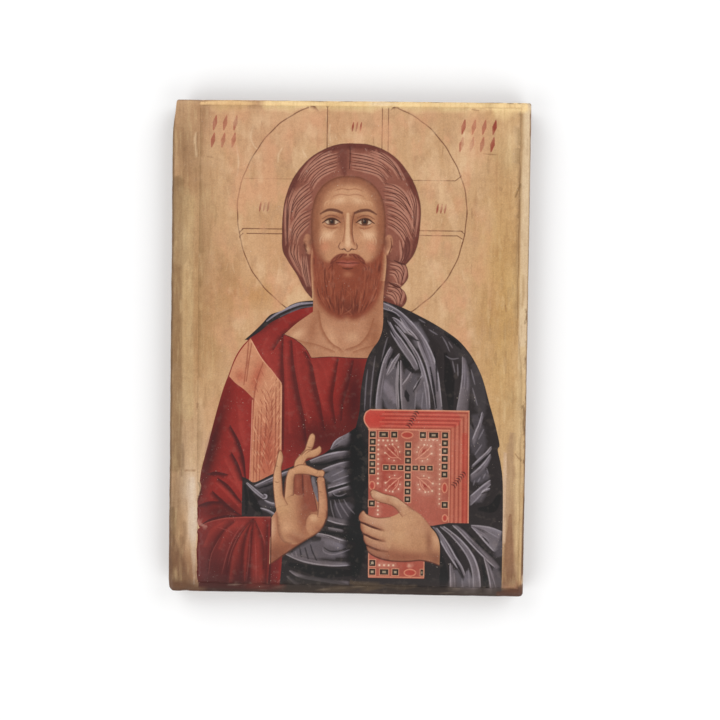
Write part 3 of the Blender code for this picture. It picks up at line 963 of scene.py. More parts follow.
DUSK, SMOKE = (72, 65, 69), (96, 88, 94)
for points, width, colour in (
    ([(24, -6), (25, -22), (26, -36)], 11, (112, 104, 112)),
    ([(36, -12), (36, -24), (37, -36)], 11, (102, 95, 102)),
    ([(44, -14), (44, -26), (45, -36)], 6, (116, 108, 116)),
    ([(56, 4), (60, -10), (60, -30)], 7, (52, 46, 46)), ([(46, 14), (54, 8), (62, -2)], 6, (56, 49, 50)),
    ([(36, 16), (41, 8), (46, -2)], 6, (122, 114, 122)),
    ([(20, -18), (24, -24), (28, -31)], 3.2, (136, 126, 136)),
    ([(14, -4), (12, -20), (11, -36)], 4, (58, 50, 52)), ([(74, -8), (76, -22), (79, -38)], 7, (70, 64, 66)),
    ([(62, 3), (66, -2), (71, -7)], 5, (60, 54, 55)), ([(75, -38), (76, -50), (78, -64)], 8, (84, 77, 82)),
    ([(74, -76), (79, -73), (83, -74)], 7, (92, 85, 91)), ([(73, -88), (77, -86), (82, -80)], 4, SMOKE),
    ([(-6, -56), (-1, -53), (4, -52)], 5, SMOKE), ([(-12, -75), (-6, -75), (2, -73)], 8.5, (112, 104, 111)),
    ([(-18, -66), (-8, -64), (2, -63)], 2.4, (70, 63, 67)),
    ([(-6, -92), (-2, -95), (4, -99)], 9, (84, 77, 84)),
    ([(-20, -76), (-19, -84), (-17, -94)], 3, (140, 132, 140)),
    ([(-30, -121), (-20, -119), (-8, -118), (4, -120)], 9, (112, 104, 112)),
    ([(-14, -112), (-5, -114), (5, -117)], 4, (124, 116, 125)),
    ([(-30, -139), (-18, -140), (0, -142)], 3, (52, 48, 47)),
    ([(-52, -91), (-46, -92), (-40, -93)], 3.6, DUSK), ([(-54, -85), (-48, -82), (-41, -79)], 3, DUSK),
    ([(65, -130), (66, -148)], 7, (106, 99, 107)), ([(72, -130), (73, -148)], 5, (122, 114, 123)),
    ([(88, -128), (90, -148)], 6, SMOKE), ([(84, -110), (89, -114), (91, -120)], 6, (90, 83, 90)),
):
    mist(points, width, colour)

# lit folds: one side, the other side, how light each side is, number of marks
for first, last, lights, marks in (
    ([(20.2, 27.2), (24.5, 26), (29.5, 22.4), (33.5, 19.4), (38, 14.6), (42.4, 9.4), (46.6, 3), (50, -4.6),
     (52.4, -13), (53.8, -22), (54.8, -29), (55.4, -36)], [(20.2, 24), (25, 22.4), (29.6, 19.8), (32, 14.8),
     (35.6, 11), (39.4, 7.6), (41.4, 1.4), (44.6, -5), (47.2, -13.6), (49.2, -22), (50.8, -29), (51.6, -36)],
     (1, 0.8), 12),
    ([(25.6, 18.8), (29, 17.2), (31.8, 14.4), (34.6, 10.8), (38.6, 7.6)], [(26.4, 17.6), (29.6, 14.2),
     (32.2, 11), (35, 8.4), (39.6, 5.6)], (1, 0.7), 3),
    ([(22.8, 16.8), (24.6, 10.6), (28, 4.8), (31.6, -0.6), (35.6, -6), (39.4, -12)],
     [(24.2, 15.8), (27.6, 10), (31.4, 5.4), (35, 0.4), (38.6, -5), (41.4, -11)], (0.7, 1), 6),
    ([(27.2, 14.2), (31, 9.2), (35.4, 3.2), (39.4, -3.6), (42, -9.8), (44.4, -18), (46, -28), (46.6, -36)],
     [(28.4, 13.4), (33.2, 8), (37.4, 2.4), (41.2, -3.6), (44.2, -10.8), (46.4, -19), (47.8, -28),
     (48.4, -36)], (0.6, 1), 5),
    ([(24.8, 1.4), (21.8, -4), (19.6, -11), (18, -20), (17, -28), (16.6, -36)],
     [(26, 0), (24, -6), (22, -13), (20.8, -21), (20.2, -29), (20.2, -36)], (1, 0.3), 4),
    ([(29.8, -2.4), (26.4, -6.6), (24.2, -11), (22.4, -15.4)], [(30, -3), (27.6, -8), (25.4, -12),
     (22.6, -15.6)], (1, 0.6), 0),
    ([(29.4, -7), (28.4, -16), (28.4, -25), (29.2, -36)], [(29.6, -7.4), (29.4, -16), (29.6, -25),
     (30.2, -36)], (0.7, 1), 0),
    ([(30.8, -6.4), (30.8, -14), (31.2, -24), (32, -36)], [(31.2, -7), (32.6, -15), (34.2, -24),
     (35.6, -36)], (1, 0.3), 3),
    ([(37.2, -12.4), (34.8, -16.6), (31.6, -20.8)], [(38.6, -13), (36.2, -18), (32.4, -22.4)], (1, 0.3), 1),
    ([(43.2, -15.2), (41, -19), (38.4, -23)], [(44.8, -17.2), (43, -21), (40, -25.4)], (1, 0.3), 1),
    ([(66.8, -3.8), (67, -12), (66.4, -20), (65.2, -28), (63.8, -36)], [(68.4, -4.6), (70.6, -12),
     (71.4, -20), (71, -28), (70.4, -36)], (0.7, 0.2), 4),
    ([(78.8, -36), (77.4, -42), (75.4, -47), (73.4, -52.4)], [(79.6, -37), (78.4, -43), (76.8, -49),
     (74.4, -56)], (1, 0.2), 2),
    ([(84.4, -56.2), (81.4, -59.8), (77.4, -63.6), (73.4, -67.6)], [(84.6, -57.2), (82.2, -61), (78, -65),
     (73.6, -69)], (1, 0.5), 0),
    ([(84, -60.6), (80.6, -65.4), (76.6, -69.6), (72.6, -73)], [(84.4, -62.4), (82, -68), (78, -72.4),
     (73.4, -76)], (1, 0.2), 3),
    ([(84.2, -75.8), (80, -79), (76, -82.6), (72.6, -85.6)], [(84.4, -78.4), (81, -82), (77, -86.6),
     (72.8, -91)], (1, 0.6), 3),
    ([(84, -80.6), (80.6, -82), (78.8, -84)], [(84, -81.4), (81.4, -83), (79.4, -84.8)], (1, 0.3), 0),
    ([(-9.6, -58.8), (-7, -54.2), (-3, -51), (0.8, -48.8)], [(-9, -59.4), (-5, -57.2), (-0.6, -56),
     (4.6, -55)], (1, 0.2), 4),
    ([(-21.6, -66), (-17, -64), (-11, -62), (-4, -60.5), (2.6, -60)], [(-21.2, -67.2), (-16, -66.4),
     (-9, -64.2), (-3, -63), (3, -62.6)], (1, 0.3), 2),
    ([(-14.6, -71.2), (-8, -68.6), (-3, -67), (2.6, -65.8)], [(-14, -72.6), (-8, -71.4), (-2, -69.8),
     (4, -69)], (1, 0.3), 3),
    ([(-10.8, -82), (-6, -80.5), (0, -78.6), (3, -77.8)], [(-11, -80), (-6, -78.4), (0, -76.6), (3.6, -76)],
     (1, 0.3), 2),
    ([(-10.6, -84.8), (-6, -83), (-1.6, -81.6), (2, -80.4)], [(-10, -87), (-7.4, -85.6), (-2, -83.4),
     (3, -82.2)], (1, 0.3), 1),
    ([(-10.8, -101), (-7, -102.2), (-2, -103.2), (6, -104)], [(-10.4, -98.6), (-6.4, -99.6), (-1.4, -100.6),
     (5, -102)], (1, 0.2), 3),
    ([(-10.4, -105.2), (-6, -106), (-1.6, -106.8)], [(-10, -106.4), (-6, -107.2), (-1.8, -107.6)],
     (0.5, 0.2), 0),
    ([(-17.2, -108.8), (-10, -110), (-4, -112), (6, -114.4)], [(-17.6, -110.4), (-11, -111.8), (-4, -114.2),
     (6, -117)], (1, 0.3), 3),
    ([(-35.4, -121.4), (-28, -124.7), (-20, -126.7), (-12, -127.6), (-4, -127.8), (6, -127)],
     [(-34.4, -120.6), (-27, -121.8), (-19, -123.6), (-11, -125), (-3, -125.6), (5, -125.6)], (0.9, 0.3), 4),
    ([(-33, -131.2), (-29.4, -133.8), (-24, -135.6), (-16, -136.8), (-8, -138), (2, -139)],
     [(-32.4, -131), (-28.6, -132.6), (-23.6, -134), (-16, -135.2), (-8, -136.4), (2, -137)], (0.5, 0.2), 0),
    ([(-34.4, -134.8), (-31, -138), (-27, -140.6)], [(-33.8, -134.6), (-30, -137), (-26, -139.4)],
     (0.5, 0.2), 0),
    ([(-54, -81.2), (-48, -78.4), (-43, -76), (-37, -73.3), (-32, -71.4)], [(-53.4, -82), (-48, -80),
     (-43, -77.8), (-37, -75), (-32, -73)], (1, 0.4), 2),
    ([(-59, -79.8), (-55.4, -83.6), (-52, -86.6), (-49.2, -88.8)], [(-58.4, -79.6), (-54.2, -83),
     (-51, -85.6), (-48.2, -87.6)], (0.8, 0.8), 0),
    ([(-49.4, -88.9), (-47.2, -88.4), (-47, -86.8), (-48.8, -86.2)], [(-49, -88.4), (-48, -88),
     (-47.8, -87.2), (-48.6, -86.8)], (1, 0.3), 0),
    ([(-48, -89.8), (-44.4, -91.2), (-41.4, -91.6)], [(-47.6, -90.6), (-44.4, -92.4), (-41.4, -93)],
     (1, 0.3), 0),
    ([(-50.4, -94.4), (-45.6, -95.8), (-41, -98.4)], [(-50, -95), (-45.6, -97), (-41.4, -99.4)], (1, 0.3),
     1),
    ([(51.2, -104), (54.6, -110), (58.4, -116.8), (62, -122.4), (66, -128), (69.2, -132.6)],
     [(53.4, -104.6), (58, -110.6), (61.6, -116), (64.8, -121.6), (68.4, -127), (70.8, -133)], (1, 0.9), 6),
    ([(55.4, -103.8), (60, -107.2), (64.4, -111.6), (68.4, -116.4), (71.8, -121.6), (74, -127), (75.2, -134),
     (75.8, -148)], [(57.6, -103.6), (62.6, -107.2), (67.4, -111.2), (72, -116.2), (75.8, -122), (78, -128),
     (79.2, -135), (80, -148)], (0.8, 1), 8),
    ([(62.6, -102.8), (66.4, -106), (70.4, -110.2), (75, -115), (79.6, -119.6), (84, -123.8),
     (88.6, -127.8)], [(65, -102.8), (69.4, -105.8), (73.4, -109.8), (78, -114.4), (82.6, -118.6),
     (87, -122.6), (90.6, -127)], (1, 0.3), 7),
    ([(73.6, -102.6), (79, -102.9), (85, -103.8), (92, -106.2)], [(73.8, -103.4), (77.6, -107.4),
     (82, -112.4), (87.4, -118)], (0.9, 1), 8),
    ([(61.5, -125.4), (61.8, -133), (62.2, -148)], [(62.8, -127), (65, -134), (66.4, -148)], (1, 0.2), 3),
    ([(81.2, -121.2), (83.2, -128), (85, -136), (86.8, -148)], [(82.4, -122.4), (86, -129), (89, -137),
     (91, -148)], (1, 0.3), 5),
):
    fold(first, last, lights, marks)
# the middle folds sink into the dark beside the book
for points, width in (
    ([(4, -46), (6.4, -62), (7, -80), (8, -92)], 8), ([(7.4, -90), (7, -104), (6.4, -118), (6, -133)], 9),
):
    mist(points, width, NIGHT_DEEP, soft=6, strength=0.95)
mist([(-34, -136), (-20, -139), (4, -141)], 7, (48, 44, 43), soft=2.4, strength=0.6)
# dark slits and hollows beside the folds
for points, width in (
    ([(20.4, 22.4), (25, 21.2), (30, 18.8)], 0.9), ([(33.2, 9.6), (36, 8), (38.6, 6.2), (41, 5.4)], 0.9),
    ([(21.6, 19), (23.4, 14), (27, 7.4)], 0.9),
    ([(26, 14), (30.6, 7.6), (35.6, 1), (40, -6), (42.6, -13)], 0.9),
    ([(50.4, -1), (51.4, -8), (52, -16), (52.4, -24)], 0.7), ([(31, -3), (34.6, -9), (38, -13)], 3.4),
    ([(23.6, 3.4), (20.4, -5), (18.2, -13), (16, -24), (15, -36)], 1),
    ([(27, -2), (24.2, -6), (22.6, -11)], 1), ([(30.2, -6), (30, -16), (30.2, -26), (31, -36)], 0.7),
    ([(34, -24), (35.4, -30)], 2.6), ([(42.6, -16.6), (40.6, -20.6), (38.6, -24.4)], 0.7),
    ([(48, -10), (50, -20), (52, -34)], 1.2), ([(57, -2), (59, -14), (60.6, -34)], 6),
    ([(56, 10), (61, 6), (66, 1)], 2), ([(72, -40), (74, -46)], 1.2),
    ([(84.2, -59.4), (79, -64.6), (73, -69.8)], 0.9), ([(83.8, -82.2), (79.4, -83.8)], 0.6),
    ([(78, -93), (86, -92), (90, -84)], 5), ([(-20, -63.4), (-10, -60.4), (0, -58.4), (6, -57.6)], 1.2),
    ([(-20, -68.4), (-12, -67.8), (-4, -65.2), (4, -64)], 1.1),
    ([(-11.4, -83.4), (-5, -81.2), (2, -79)], 0.8),
    ([(-8.6, -85), (-6.6, -86.8), (-3.4, -87.2), (0, -85.8)], 0.5),
    ([(-9.4, -88), (-4, -87.6), (3, -86)], 1.4), ([(-12, -104.2), (-4, -104.8), (8, -106)], 1),
    ([(-14, -107.8), (-4, -109.6), (8, -112)], 2),
    ([(-12.8, -117.2), (-9, -119.2), (-4, -119), (0, -117.4)], 0.7),
    ([(-33, -127.4), (-14, -131.6), (6, -132)], 6.4), ([(-24, -117.4), (-23, -120.6), (-22, -124)], 0.6),
    ([(-20.8, -115.6), (-19.4, -120), (-17, -125)], 0.6), ([(-27, -118), (-26, -123)], 0.4),
    ([(-57, -84), (-54, -92), (-50, -98)], 4.4), ([(-60, -80), (-58.6, -90), (-59, -98)], 2),
    ([(-52, -83), (-46, -80.8), (-41, -79)], 0.9), ([(-36, -76), (-36.4, -86)], 1),
    ([(64, -123), (66.6, -127.6), (69.4, -132.8)], 1.1), ([(60.6, -112), (64, -117), (67, -123)], 0.8),
    ([(80.6, -126), (82.4, -134), (83.6, -148)], 2.6), ([(80, -108.4), (84, -113)], 0.6),
    ([(56, -120), (58, -132), (57, -148)], 5), ([(68, -103.6), (74, -109), (80, -115), (86, -120.6)], 0.8),
    ([(14, -140), (40, -141), (60, -141)], 6), ([(3, -44), (6, -30), (8, -16)], 1.6),
):
    line(points, [width * 0.3, width, width * 0.4], NIGHT_DEEP, soft=0.5, strength=0.85, within="cloak")
# small lights scattered over the darker cloth
for points in (
    [(54.6, 8), (57, 4.4), (59.4, -1)], [(58.6, 5), (61, 1.4)], [(57, -3.2), (60.4, -5), (64.6, -4.6)],
    [(61, -6), (62.6, -13)], [(64, -8), (64.4, -15)], [(41, 18), (44.8, 15.8)], [(47, 12), (52, 9)],
    [(15.8, -4), (14.6, -14), (13.6, -26), (13.2, -36)], [(11.4, -12), (10.4, -24), (10, -36)],
    [(22.8, 7), (21.2, 1), (19.4, -7)], [(40, -24), (39.4, -35)], [(44, -25), (43.4, -34)],
    [(72, -11), (74.4, -20)], [(73, -22), (76, -32)], [(77, -52), (80, -46)], [(75, -61), (79, -55)],
    [(82, -69), (83, -72)], [(74.4, -79), (75.2, -76)], [(77, -77), (78.4, -74.4)], [(80, -75), (81.4, -72)],
    [(-9.4, -89.4), (-8.6, -94), (-7, -99.6)], [(-7, -88.8), (-5.4, -94), (-2.6, -99.6)],
    [(-4.6, -88.6), (-2.4, -93), (1.4, -98.6)], [(-1.6, -88.4), (1, -92.6), (5, -97)],
    [(-8, -84.4), (-6.6, -86.1), (-3.6, -86.5), (0, -85)],
    [(-13.6, -117.4), (-12.6, -119.8), (-8, -121.2), (-3, -120.2), (2.4, -118)], [(-2, -71.4), (-9, -75)],
    [(1, -74.4), (-8, -78)], [(-29.6, -119.6), (-28.6, -123)], [(-32, -120.4), (-31, -122.6)],
    [(64, -131), (64.8, -141)], [(68.6, -134), (69.4, -142)], [(72.4, -128), (73.2, -140)],
    [(85, -128), (88.6, -139)], [(76, -105.6), (84, -111)], [(81, -105), (89.6, -109.6)],
):
    line(points, [0.15, 0.5, 0.15], (150, 141, 149), soft=0.45, strength=0.6, within="cloak")

# cuff and lining
area("cuff", outline([(-87.4, -107.6), (-84, -105), (-79, -102.8), (-71, -101), (-60, -100.2),
    (-44.6, -99.8)], [(-44.8, -114), (-45, -128), (-46.4, -148)], [(-86.2, -148)],
    [(-87.2, -138), (-90, -126), (-89.4, -115), (-88.2, -110), (-87.4, -107.6)]), (119, 41, 37))
area("lining", outline([(-44.9, -127.4), (-37.4, -121.8)], [(-38, -132), (-39.6, -148)], [(-46.2, -148)],
    [(-44.9, -127.4)]), (112, 38, 36))
line([(-37.8, -123), (-38.4, -132), (-40, -148)], 1, RED, soft=1.4, strength=0.7, within="lining")
line([(-45, -124), (-45.2, -134), (-46, -148)], 1.6, RED_DEEP, soft=1, strength=0.9, within="lining")
glow((-78, -136), (15, 22), 0, (84, 36, 35), 1, "cuff")
glow((-62, -138), (16, 13), 0, RED_DEEP, 0.8, "cuff")
glow((-66, -104), (18, 4), 4, RED_LIGHT, 0.55, "cuff")
line([(-51, -101), (-51.6, -120), (-52.6, -148)], [3, 4.6, 4.6], (158, 58, 48), soft=1.8, strength=0.45,
    within="cuff")
for points, width in (
    ([(-55, -101), (-59, -105.6), (-64, -113), (-68.4, -124), (-71.6, -148)], 1.5),
    ([(-54.6, -101), (-58, -108), (-60.6, -120), (-62, -148)], 1.4),
    ([(-54.4, -101), (-55.6, -112), (-56.6, -126), (-57.4, -148)], 1.3),
    ([(-66, -103), (-72, -108), (-78, -118), (-81, -132)], 1.4),
    ([(-53.6, -102), (-50.6, -109), (-48.6, -118), (-48.4, -130)], 1),
    ([(-46.2, -104), (-46.4, -124), (-47.6, -148)], 0.9),
):
    line(points, [0.3, width * 0.7, width * 0.7, 0.4], RED_DEEP, soft=(0.7, 2.2), strength=0.6,
        within="cuff")
for points in (
    [(-57, -103), (-62.6, -110), (-67, -119), (-69.6, -130)],
    [(-60, -103), (-66, -112), (-70, -122), (-73, -134)], [(-52.4, -104), (-49.4, -110), (-47.4, -116)],
    [(-56.4, -108), (-56.8, -122), (-58.4, -138)], [(-53.6, -112), (-52.8, -126), (-52.6, -140)],
    [(-76, -106), (-70, -108), (-66, -110)], [(-74, -112), (-79, -122), (-81, -134)],
):
    line(points, [0.1, 0.4, 0.1], (168, 86, 78), soft=0.4, strength=0.45, within="cuff")
for points in (
    [(-57, -104), (-62, -112), (-66, -124), (-68.6, -140)], [(-56.4, -106), (-58.6, -120), (-59.4, -138)],
    [(-64, -103), (-70, -109), (-75, -119)], [(-72, -103), (-79, -108), (-84, -118)],
):
    line(points, [0.2, 1.1, 0.2], (156, 58, 48), soft=(1.4, 0.8), strength=0.4, within="cuff")
line([(-85.8, -105.8), (-83, -104.2), (-79, -102.6), (-71, -100.8), (-60, -100), (-44.6, -99.6)],
    [0.2, 0.45, 0.45, 0.45], (188, 92, 78), soft=(0.2, 0.4), strength=0.65)

# book
area("pages", outline([(12.8, -46.4), (11.4, -44.6), (10.2, -42.6), (9.9, -40), (11, -37), (13.4, -35.2)],
    [(14, -35.2)], [(71.4, -35.2)], [(72, -101.4)], [(50, -101.4)], [(12.8, -46.4)]), (184, 100, 80))
line([(12, -40.6), (40, -40.6), (62, -40.6)], [9, 9, 8], (192, 80, 68), soft=1.2, strength=0.9,
    within="pages", smooth=False)
glow((19, -41), (18, 6), 0, (186, 60, 50), 0.75, "pages")
for k in range(9):
    x, y = 60.6 + 1.26 * k, -46.0 + 1.16 * k
    colour, strength = (PAGE_LINE, 0.9) if k % 2 == 0 else ((216, 138, 112), 0.55)
    line([(19 + 1.6 * (k % 3), y), (x, y), (x + 0.25, -101.4)], 0.3, colour, soft=0.22, strength=strength,
        within="pages", smooth=False)
line([(69, -50), (69.6, -100)], 2.2, (176, 62, 50), soft=1.2, strength=0.55, within="pages")
page_edge = [(12.8, -46.4), (11.4, -44.6), (10.2, -42.6), (9.9, -40), (11, -37), (13.4, -35.4)]
line(page_edge, 0.5, (212, 140, 114), soft=0.2)
line([(14, -35.5), (71.2, -35.5), (71.7, -101.2)], 0.6, TRIM, soft=0.15, smooth=False)
for middle, turn in (((38, -41), 60), ((65.6, -76), 52)):
    c, s = np.cos(np.radians(turn)), np.sin(np.radians(turn))
    for k in range(7):
        u = (k - 3) * 1.6
        at = np.array(middle) + np.array([c * u, s * u])
        line([at + (-1.5 * s, 1.5 * c), at + (0.8 * c, 0.8 * s), at + (1.5 * s, -1.5 * c)], [0.3, 0.8, 0.3],
            (74, 28, 26), soft=0.2, strength=0.9, within="pages")
area("cover", outline([(12.5, -46.6), (60, -46.6)], [(60.2, -101.4)], [(46.6, -104)], [(46.4, -134.6)],
    [(13.4, -134.6)], [(12.5, -46.6)]), COVER)
glow((46, -66), (16, 26), 0, (184, 116, 96), 0.8, "cover")
glow((24, -70), (10, 26), 0, (164, 66, 54), 0.7, "cover")
glow((38, -130), (10, 6), 0, (168, 70, 58), 0.6, "cover")
line([(12.6, -46.9), (60, -46.9)], 0.6, TRIM, soft=(0.15, 0.3), smooth=False)
for points, width, strength in (
    ([(60.2, -46.9), (60.4, -101)], 0.6, 1.0), ([(13, -47), (13.2, -79)], 0.4, 0.8),
    ([(13.6, -118), (13.6, -134)], 0.4, 0.8), ([(13.6, -134), (46.2, -134)], 0.6, 0.9),
    ([(46.2, -124), (46.2, -134)], 0.5, 0.9),
):
    line(points, width, TRIM, soft=0.15, strength=strength, smooth=False)


def block(x, y, wide, high, colour, soft=0.12):
    area("block", np.array([(x - wide / 2, y - high / 2), (x + wide / 2, y - high / 2),
        (x + wide / 2, y + high / 2), (x - wide / 2, y + high / 2)]), colour, soft=soft)


def gem(x, y, wide=3.6, high=3.6):
    """A dark square stone with a pale heart, in a pale setting."""
    block(x, y, wide + 0.9, high + 0.9, (206, 142, 114))
    block(x, y, wide, high, GEM)
    block(x, y, wide * 0.42, high * 0.36, GEM_HEART, soft=0.4)


def pearl(x, y, size=0.55):
    glow((x, y), (size * 1.7, size * 1.7), 0, (246, 218, 190), 1)


def stone(x, y, wide, high):
    area("stone", oval((x, y), (wide + 0.5, high + 0.5), count=20), TRIM, soft=0.2)
    area("stone", oval((x, y), (wide, high), count=20), (176, 70, 58), soft=0.5)


for k in range(6):
    gem(15, -49.9 - 4.35 * k)
gem(21.4, -49.9, 5.2, 3.2)
gem(27.6, -49.9)
stone(35.2, -50, 3.2, 1.7)
gem(44.4, -49.9)
gem(50.7, -49.9, 5.4, 3.2)
for k in range(6):
    gem(57.4, -49.9 - 4.6 * k)
stone(57.6, -80.8, 1.3, 2.6)
gem(57.8, -90.8)
gem(15, -90.6)
stone(15, -80, 1.4, 2.2)
stone(58, -98.6, 1.3, 1.8)
for k in range(8):
    gem(35.9, -56.0 - 4.55 * k, 3.5, 3.5)
for k in (-3, -2, -1, 1, 2, 3):
    gem(35.9 + 4.3 * k, -69.3, 3.3, 2.9)
gem(15.8, -125.8)
gem(15.8, -131)
gem(22.8, -131, 5, 3.2)
gem(29.4, -131)
stone(38, -131.2, 3.2, 1.8)
gem(45, -131, 1.6, 3.6)
for k in range(5):
    pearl(18.6 + 2.6 * k, -53.4)
    pearl(43.6 + 2.3 * k, -52.7, 0.45)
for k in range(13):
    if k < 9:
        pearl(18.4, -55.9 - 2.85 * k)
    pearl(54.6, -55.4 - 2.9 * k, 0.42)
for k in range(4):
    pearl(18.6, -89.8 - 2.4 * k, 0.5)
    pearl(20.0 + 2.7 * k, -127)
pearl(38, -127.4, 0.6)
# four sprays of leaves on the cover, each the same in its own quarter
for cx, cy, sx, sy in ((27.5, -60.5, 1, 1), (44.5, -60.5, -1, 1), (28, -78.5, 1, -1), (45.5, -78.5, -1, -1)):
    def at(u, v):
        return (cx + sx * u, cy + sy * v)
    for stem in (
        [at(4.2, -4), at(0.4, -1), at(-4.2, 3.4)], [at(2.4, -3), at(-1.6, -2.8), at(-4.6, -0.2)],
        [at(2.6, -1.8), at(1.6, 1.6), at(-0.8, 4.4)],
    ):
        line(stem, [0.35, 0.55, 0.3], (226, 158, 132), soft=0.25, strength=0.8)
    line([at(-1.6, 2.2), at(0.6, 0.2)], [0.3, 1.7, 0.3], (156, 60, 48), soft=0.3, strength=0.8)
    for u, v in ((-2.6, 1.2), (-0.6, -0.4), (1.2, 0.4)):
        line([at(u, v), at(u - 0.9, v + 1.3)], [0.2, 0.7, 0.2], (232, 168, 142), soft=0.2, strength=0.7)
    for u, v, size in (
        (-4.8, 4.2, 0.5), (-5.2, -0.2, 0.45), (-0.8, 5, 0.45), (-2.8, -3.6, 0.35), (2.6, 3.4, 0.4),
        (-2.6, 4.8, 0.3), (3.4, 0.6, 0.35), (0.2, -4.6, 0.35),
    ):
        pearl(*at(u, v), size)

# the blessing hand
FLESH_EDGE = (104, 56, 40)


def finger(name, first, last, tone=(200, 150, 112), near=(218, 170, 132), far=(150, 92, 66)):
    """A rounded finger between its two sides, each given from its base to its tip, with a fine dark contour
    that leaves the base open; near and far are the colours along the first and the last side."""
    first, last = strip(name, first, last, tone, (near, far))
    line(np.vstack([first, last[::-1]]), 0.35, FLESH_EDGE, soft=0.35, strength=0.55, smooth=False)


area("wrist", outline([(-44.2, -100.4), (-44.2, -127.2)], [(-38, -122.6), (-30, -117), (-22, -111.9),
    (-15, -107.4)], [(-24, -98), (-40, -94)], [(-44.2, -100.4)]), (170, 112, 82))
glow((-43.4, -106), (2.4, 9), 0, (208, 162, 130), 0.9, "wrist")
glow((-41, -122), (9, 8), 36, (134, 78, 58), 0.9, "wrist")
glow((-30, -115), (10, 3), 32, (142, 84, 62), 0.8, "wrist")
palm_edge = outline([(-41.9, -88), (-41.2, -95), (-40.6, -101), (-40.4, -106), (-39.2, -111),
    (-36.6, -114.4)], [(-30, -115.6), (-24, -113), (-18, -109.4), (-13.8, -105), (-12, -100)],
    [(-14, -92), (-17, -90)], [(-20.6, -80), (-22, -74), (-30, -73.6), (-31, -80)],
    [(-33, -86), (-37.4, -88), (-41.9, -88)])
area("palm", palm_edge, (182, 130, 96))
glow((-36.4, -94), (6, 9), -8, (198, 150, 110), 0.85, "palm")
glow((-35, -105.6), (4.2, 5.6), 0, (210, 160, 122), 0.85, "palm")
glow((-25, -100), (4.2, 15), 4, (150, 90, 66), 0.95, "palm")
glow((-22.6, -91), (6, 11), 10, (134, 72, 54), 1, "palm")
glow((-28, -113), (9, 3), -24, (150, 94, 70), 0.85, "palm")
glow((-17.6, -106), (5, 3), 40, (160, 102, 74), 0.7, "palm")
area("thenar", outline([(-16.6, -97.6), (-20, -96.8), (-22.6, -99.6), (-23.6, -103.6), (-22.8, -107.6),
    (-20, -109.6)], [(-16, -107.4), (-13.4, -103.4), (-12.6, -98.4)], [(-16.6, -97.6)]), (186, 132, 98),
    soft=0.9, within="palm")
glow((-19, -99.6), (3, 2.4), -20, (214, 168, 130), 0.95, "thenar")
glow((-16, -106), (4.4, 3), 40, (158, 100, 74), 0.8, "thenar")
line([(-40.9, -97), (-40.2, -104), (-39.2, -110), (-36.4, -114), (-32, -115.2)], [0.3, 0.8, 0.8, 0.3],
    (136, 84, 62), soft=(1.6, 0.3), strength=0.65)
line([(-24, -104.4), (-23.2, -100), (-20.6, -97.4), (-17, -97.6)], [0.3, 0.6, 0.2], (130, 76, 56),
    soft=(0.8, 0.3), strength=0.6, within="palm")
line([(-28.4, -86), (-28, -94), (-28.4, -104)], [0.4, 1, 0.3], (168, 112, 82), soft=(2, 1), strength=0.5,
    within="palm")

# the two bent fingers seen from inside, then those that are held up
area("back_one", outline([(-30.6, -74), (-26.2, -74), (-25.8, -80), (-25.6, -86)],
    [(-28, -86.6), (-31, -85.6)], [(-31, -78), (-30.6, -74)]), (136, 72, 54), soft=0.25)
area("back_two", outline([(-25.8, -74), (-21.8, -74), (-20.6, -80), (-18.8, -88), (-17.2, -95.4)],
    [(-20, -96), (-24.6, -90), (-25.6, -84), (-25.8, -74)]), (142, 76, 58), soft=0.25)
glow((-28.8, -80), (1, 6), 0, (160, 94, 72), 0.8, "back_one")
glow((-24, -80), (1, 6), 4, (164, 98, 76), 0.8, "back_two")
line([(-26, -74.4), (-25.8, -80), (-25.4, -87)], [0.5, 0.7, 0.2], (88, 42, 34), soft=0.5, strength=0.75)
line([(-21.7, -74.4), (-20.5, -80), (-18.6, -88), (-17, -95.6)], [0.4, 0.5, 0.3], (92, 46, 36),
    soft=(0.3, 0.2), strength=0.8)
finger("index", [(-31.2, -71), (-30.4, -66.4), (-27.6, -62.8), (-24.9, -59.6), (-23.4, -55), (-22, -50.9),
    (-20.4, -49.8)], [(-23.4, -69.6), (-24.6, -65.6), (-22.6, -61.4), (-20.2, -58.4), (-19, -54), (-19, -51),
    (-20.4, -49.8)], near=(216, 166, 126), far=(164, 110, 80))
finger("middle", [(-26.6, -62.6), (-23.6, -59.8), (-20.4, -59.6), (-18, -58.6), (-16.2, -57.2),
    (-15.2, -58.2)], [(-25.4, -68), (-23.4, -64.8), (-19.6, -64), (-16.4, -62.4), (-15, -60.4),
    (-15.2, -58.2)], near=(214, 164, 124), far=(160, 104, 76))
glow((-27.4, -66.6), (2.4, 2.6), 0, (202, 150, 112), 0.9)
finger("ring_low", [(-36.4, -88.4), (-36, -82), (-35.4, -76), (-33.8, -71.6), (-31, -70.6)],
    [(-31.2, -86.4), (-31, -80), (-30.8, -76), (-30, -73.4), (-29, -71.6)], tone=(190, 140, 104),
    far=(136, 80, 58))
line([(-36.9, -88), (-36.5, -82), (-35.8, -76)], [0.7, 0.9, 0.3], (110, 62, 46), soft=(0.3, 0.5),
    strength=0.7)
finger("ring", [(-32.4, -71), (-28.4, -68.7), (-24.4, -68.6), (-20.6, -70), (-16.8, -71.5), (-13.9, -71.4),
    (-13, -73)], [(-30.6, -74.4), (-27.4, -73.9), (-24, -74), (-20, -74.6), (-16.4, -75.6), (-13.8, -75.2),
    (-13, -73)], tone=(204, 152, 114), near=(216, 168, 128), far=(158, 102, 74))
glow((-32.4, -73.4), (2.2, 2.4), 20, (202, 152, 114), 0.9)
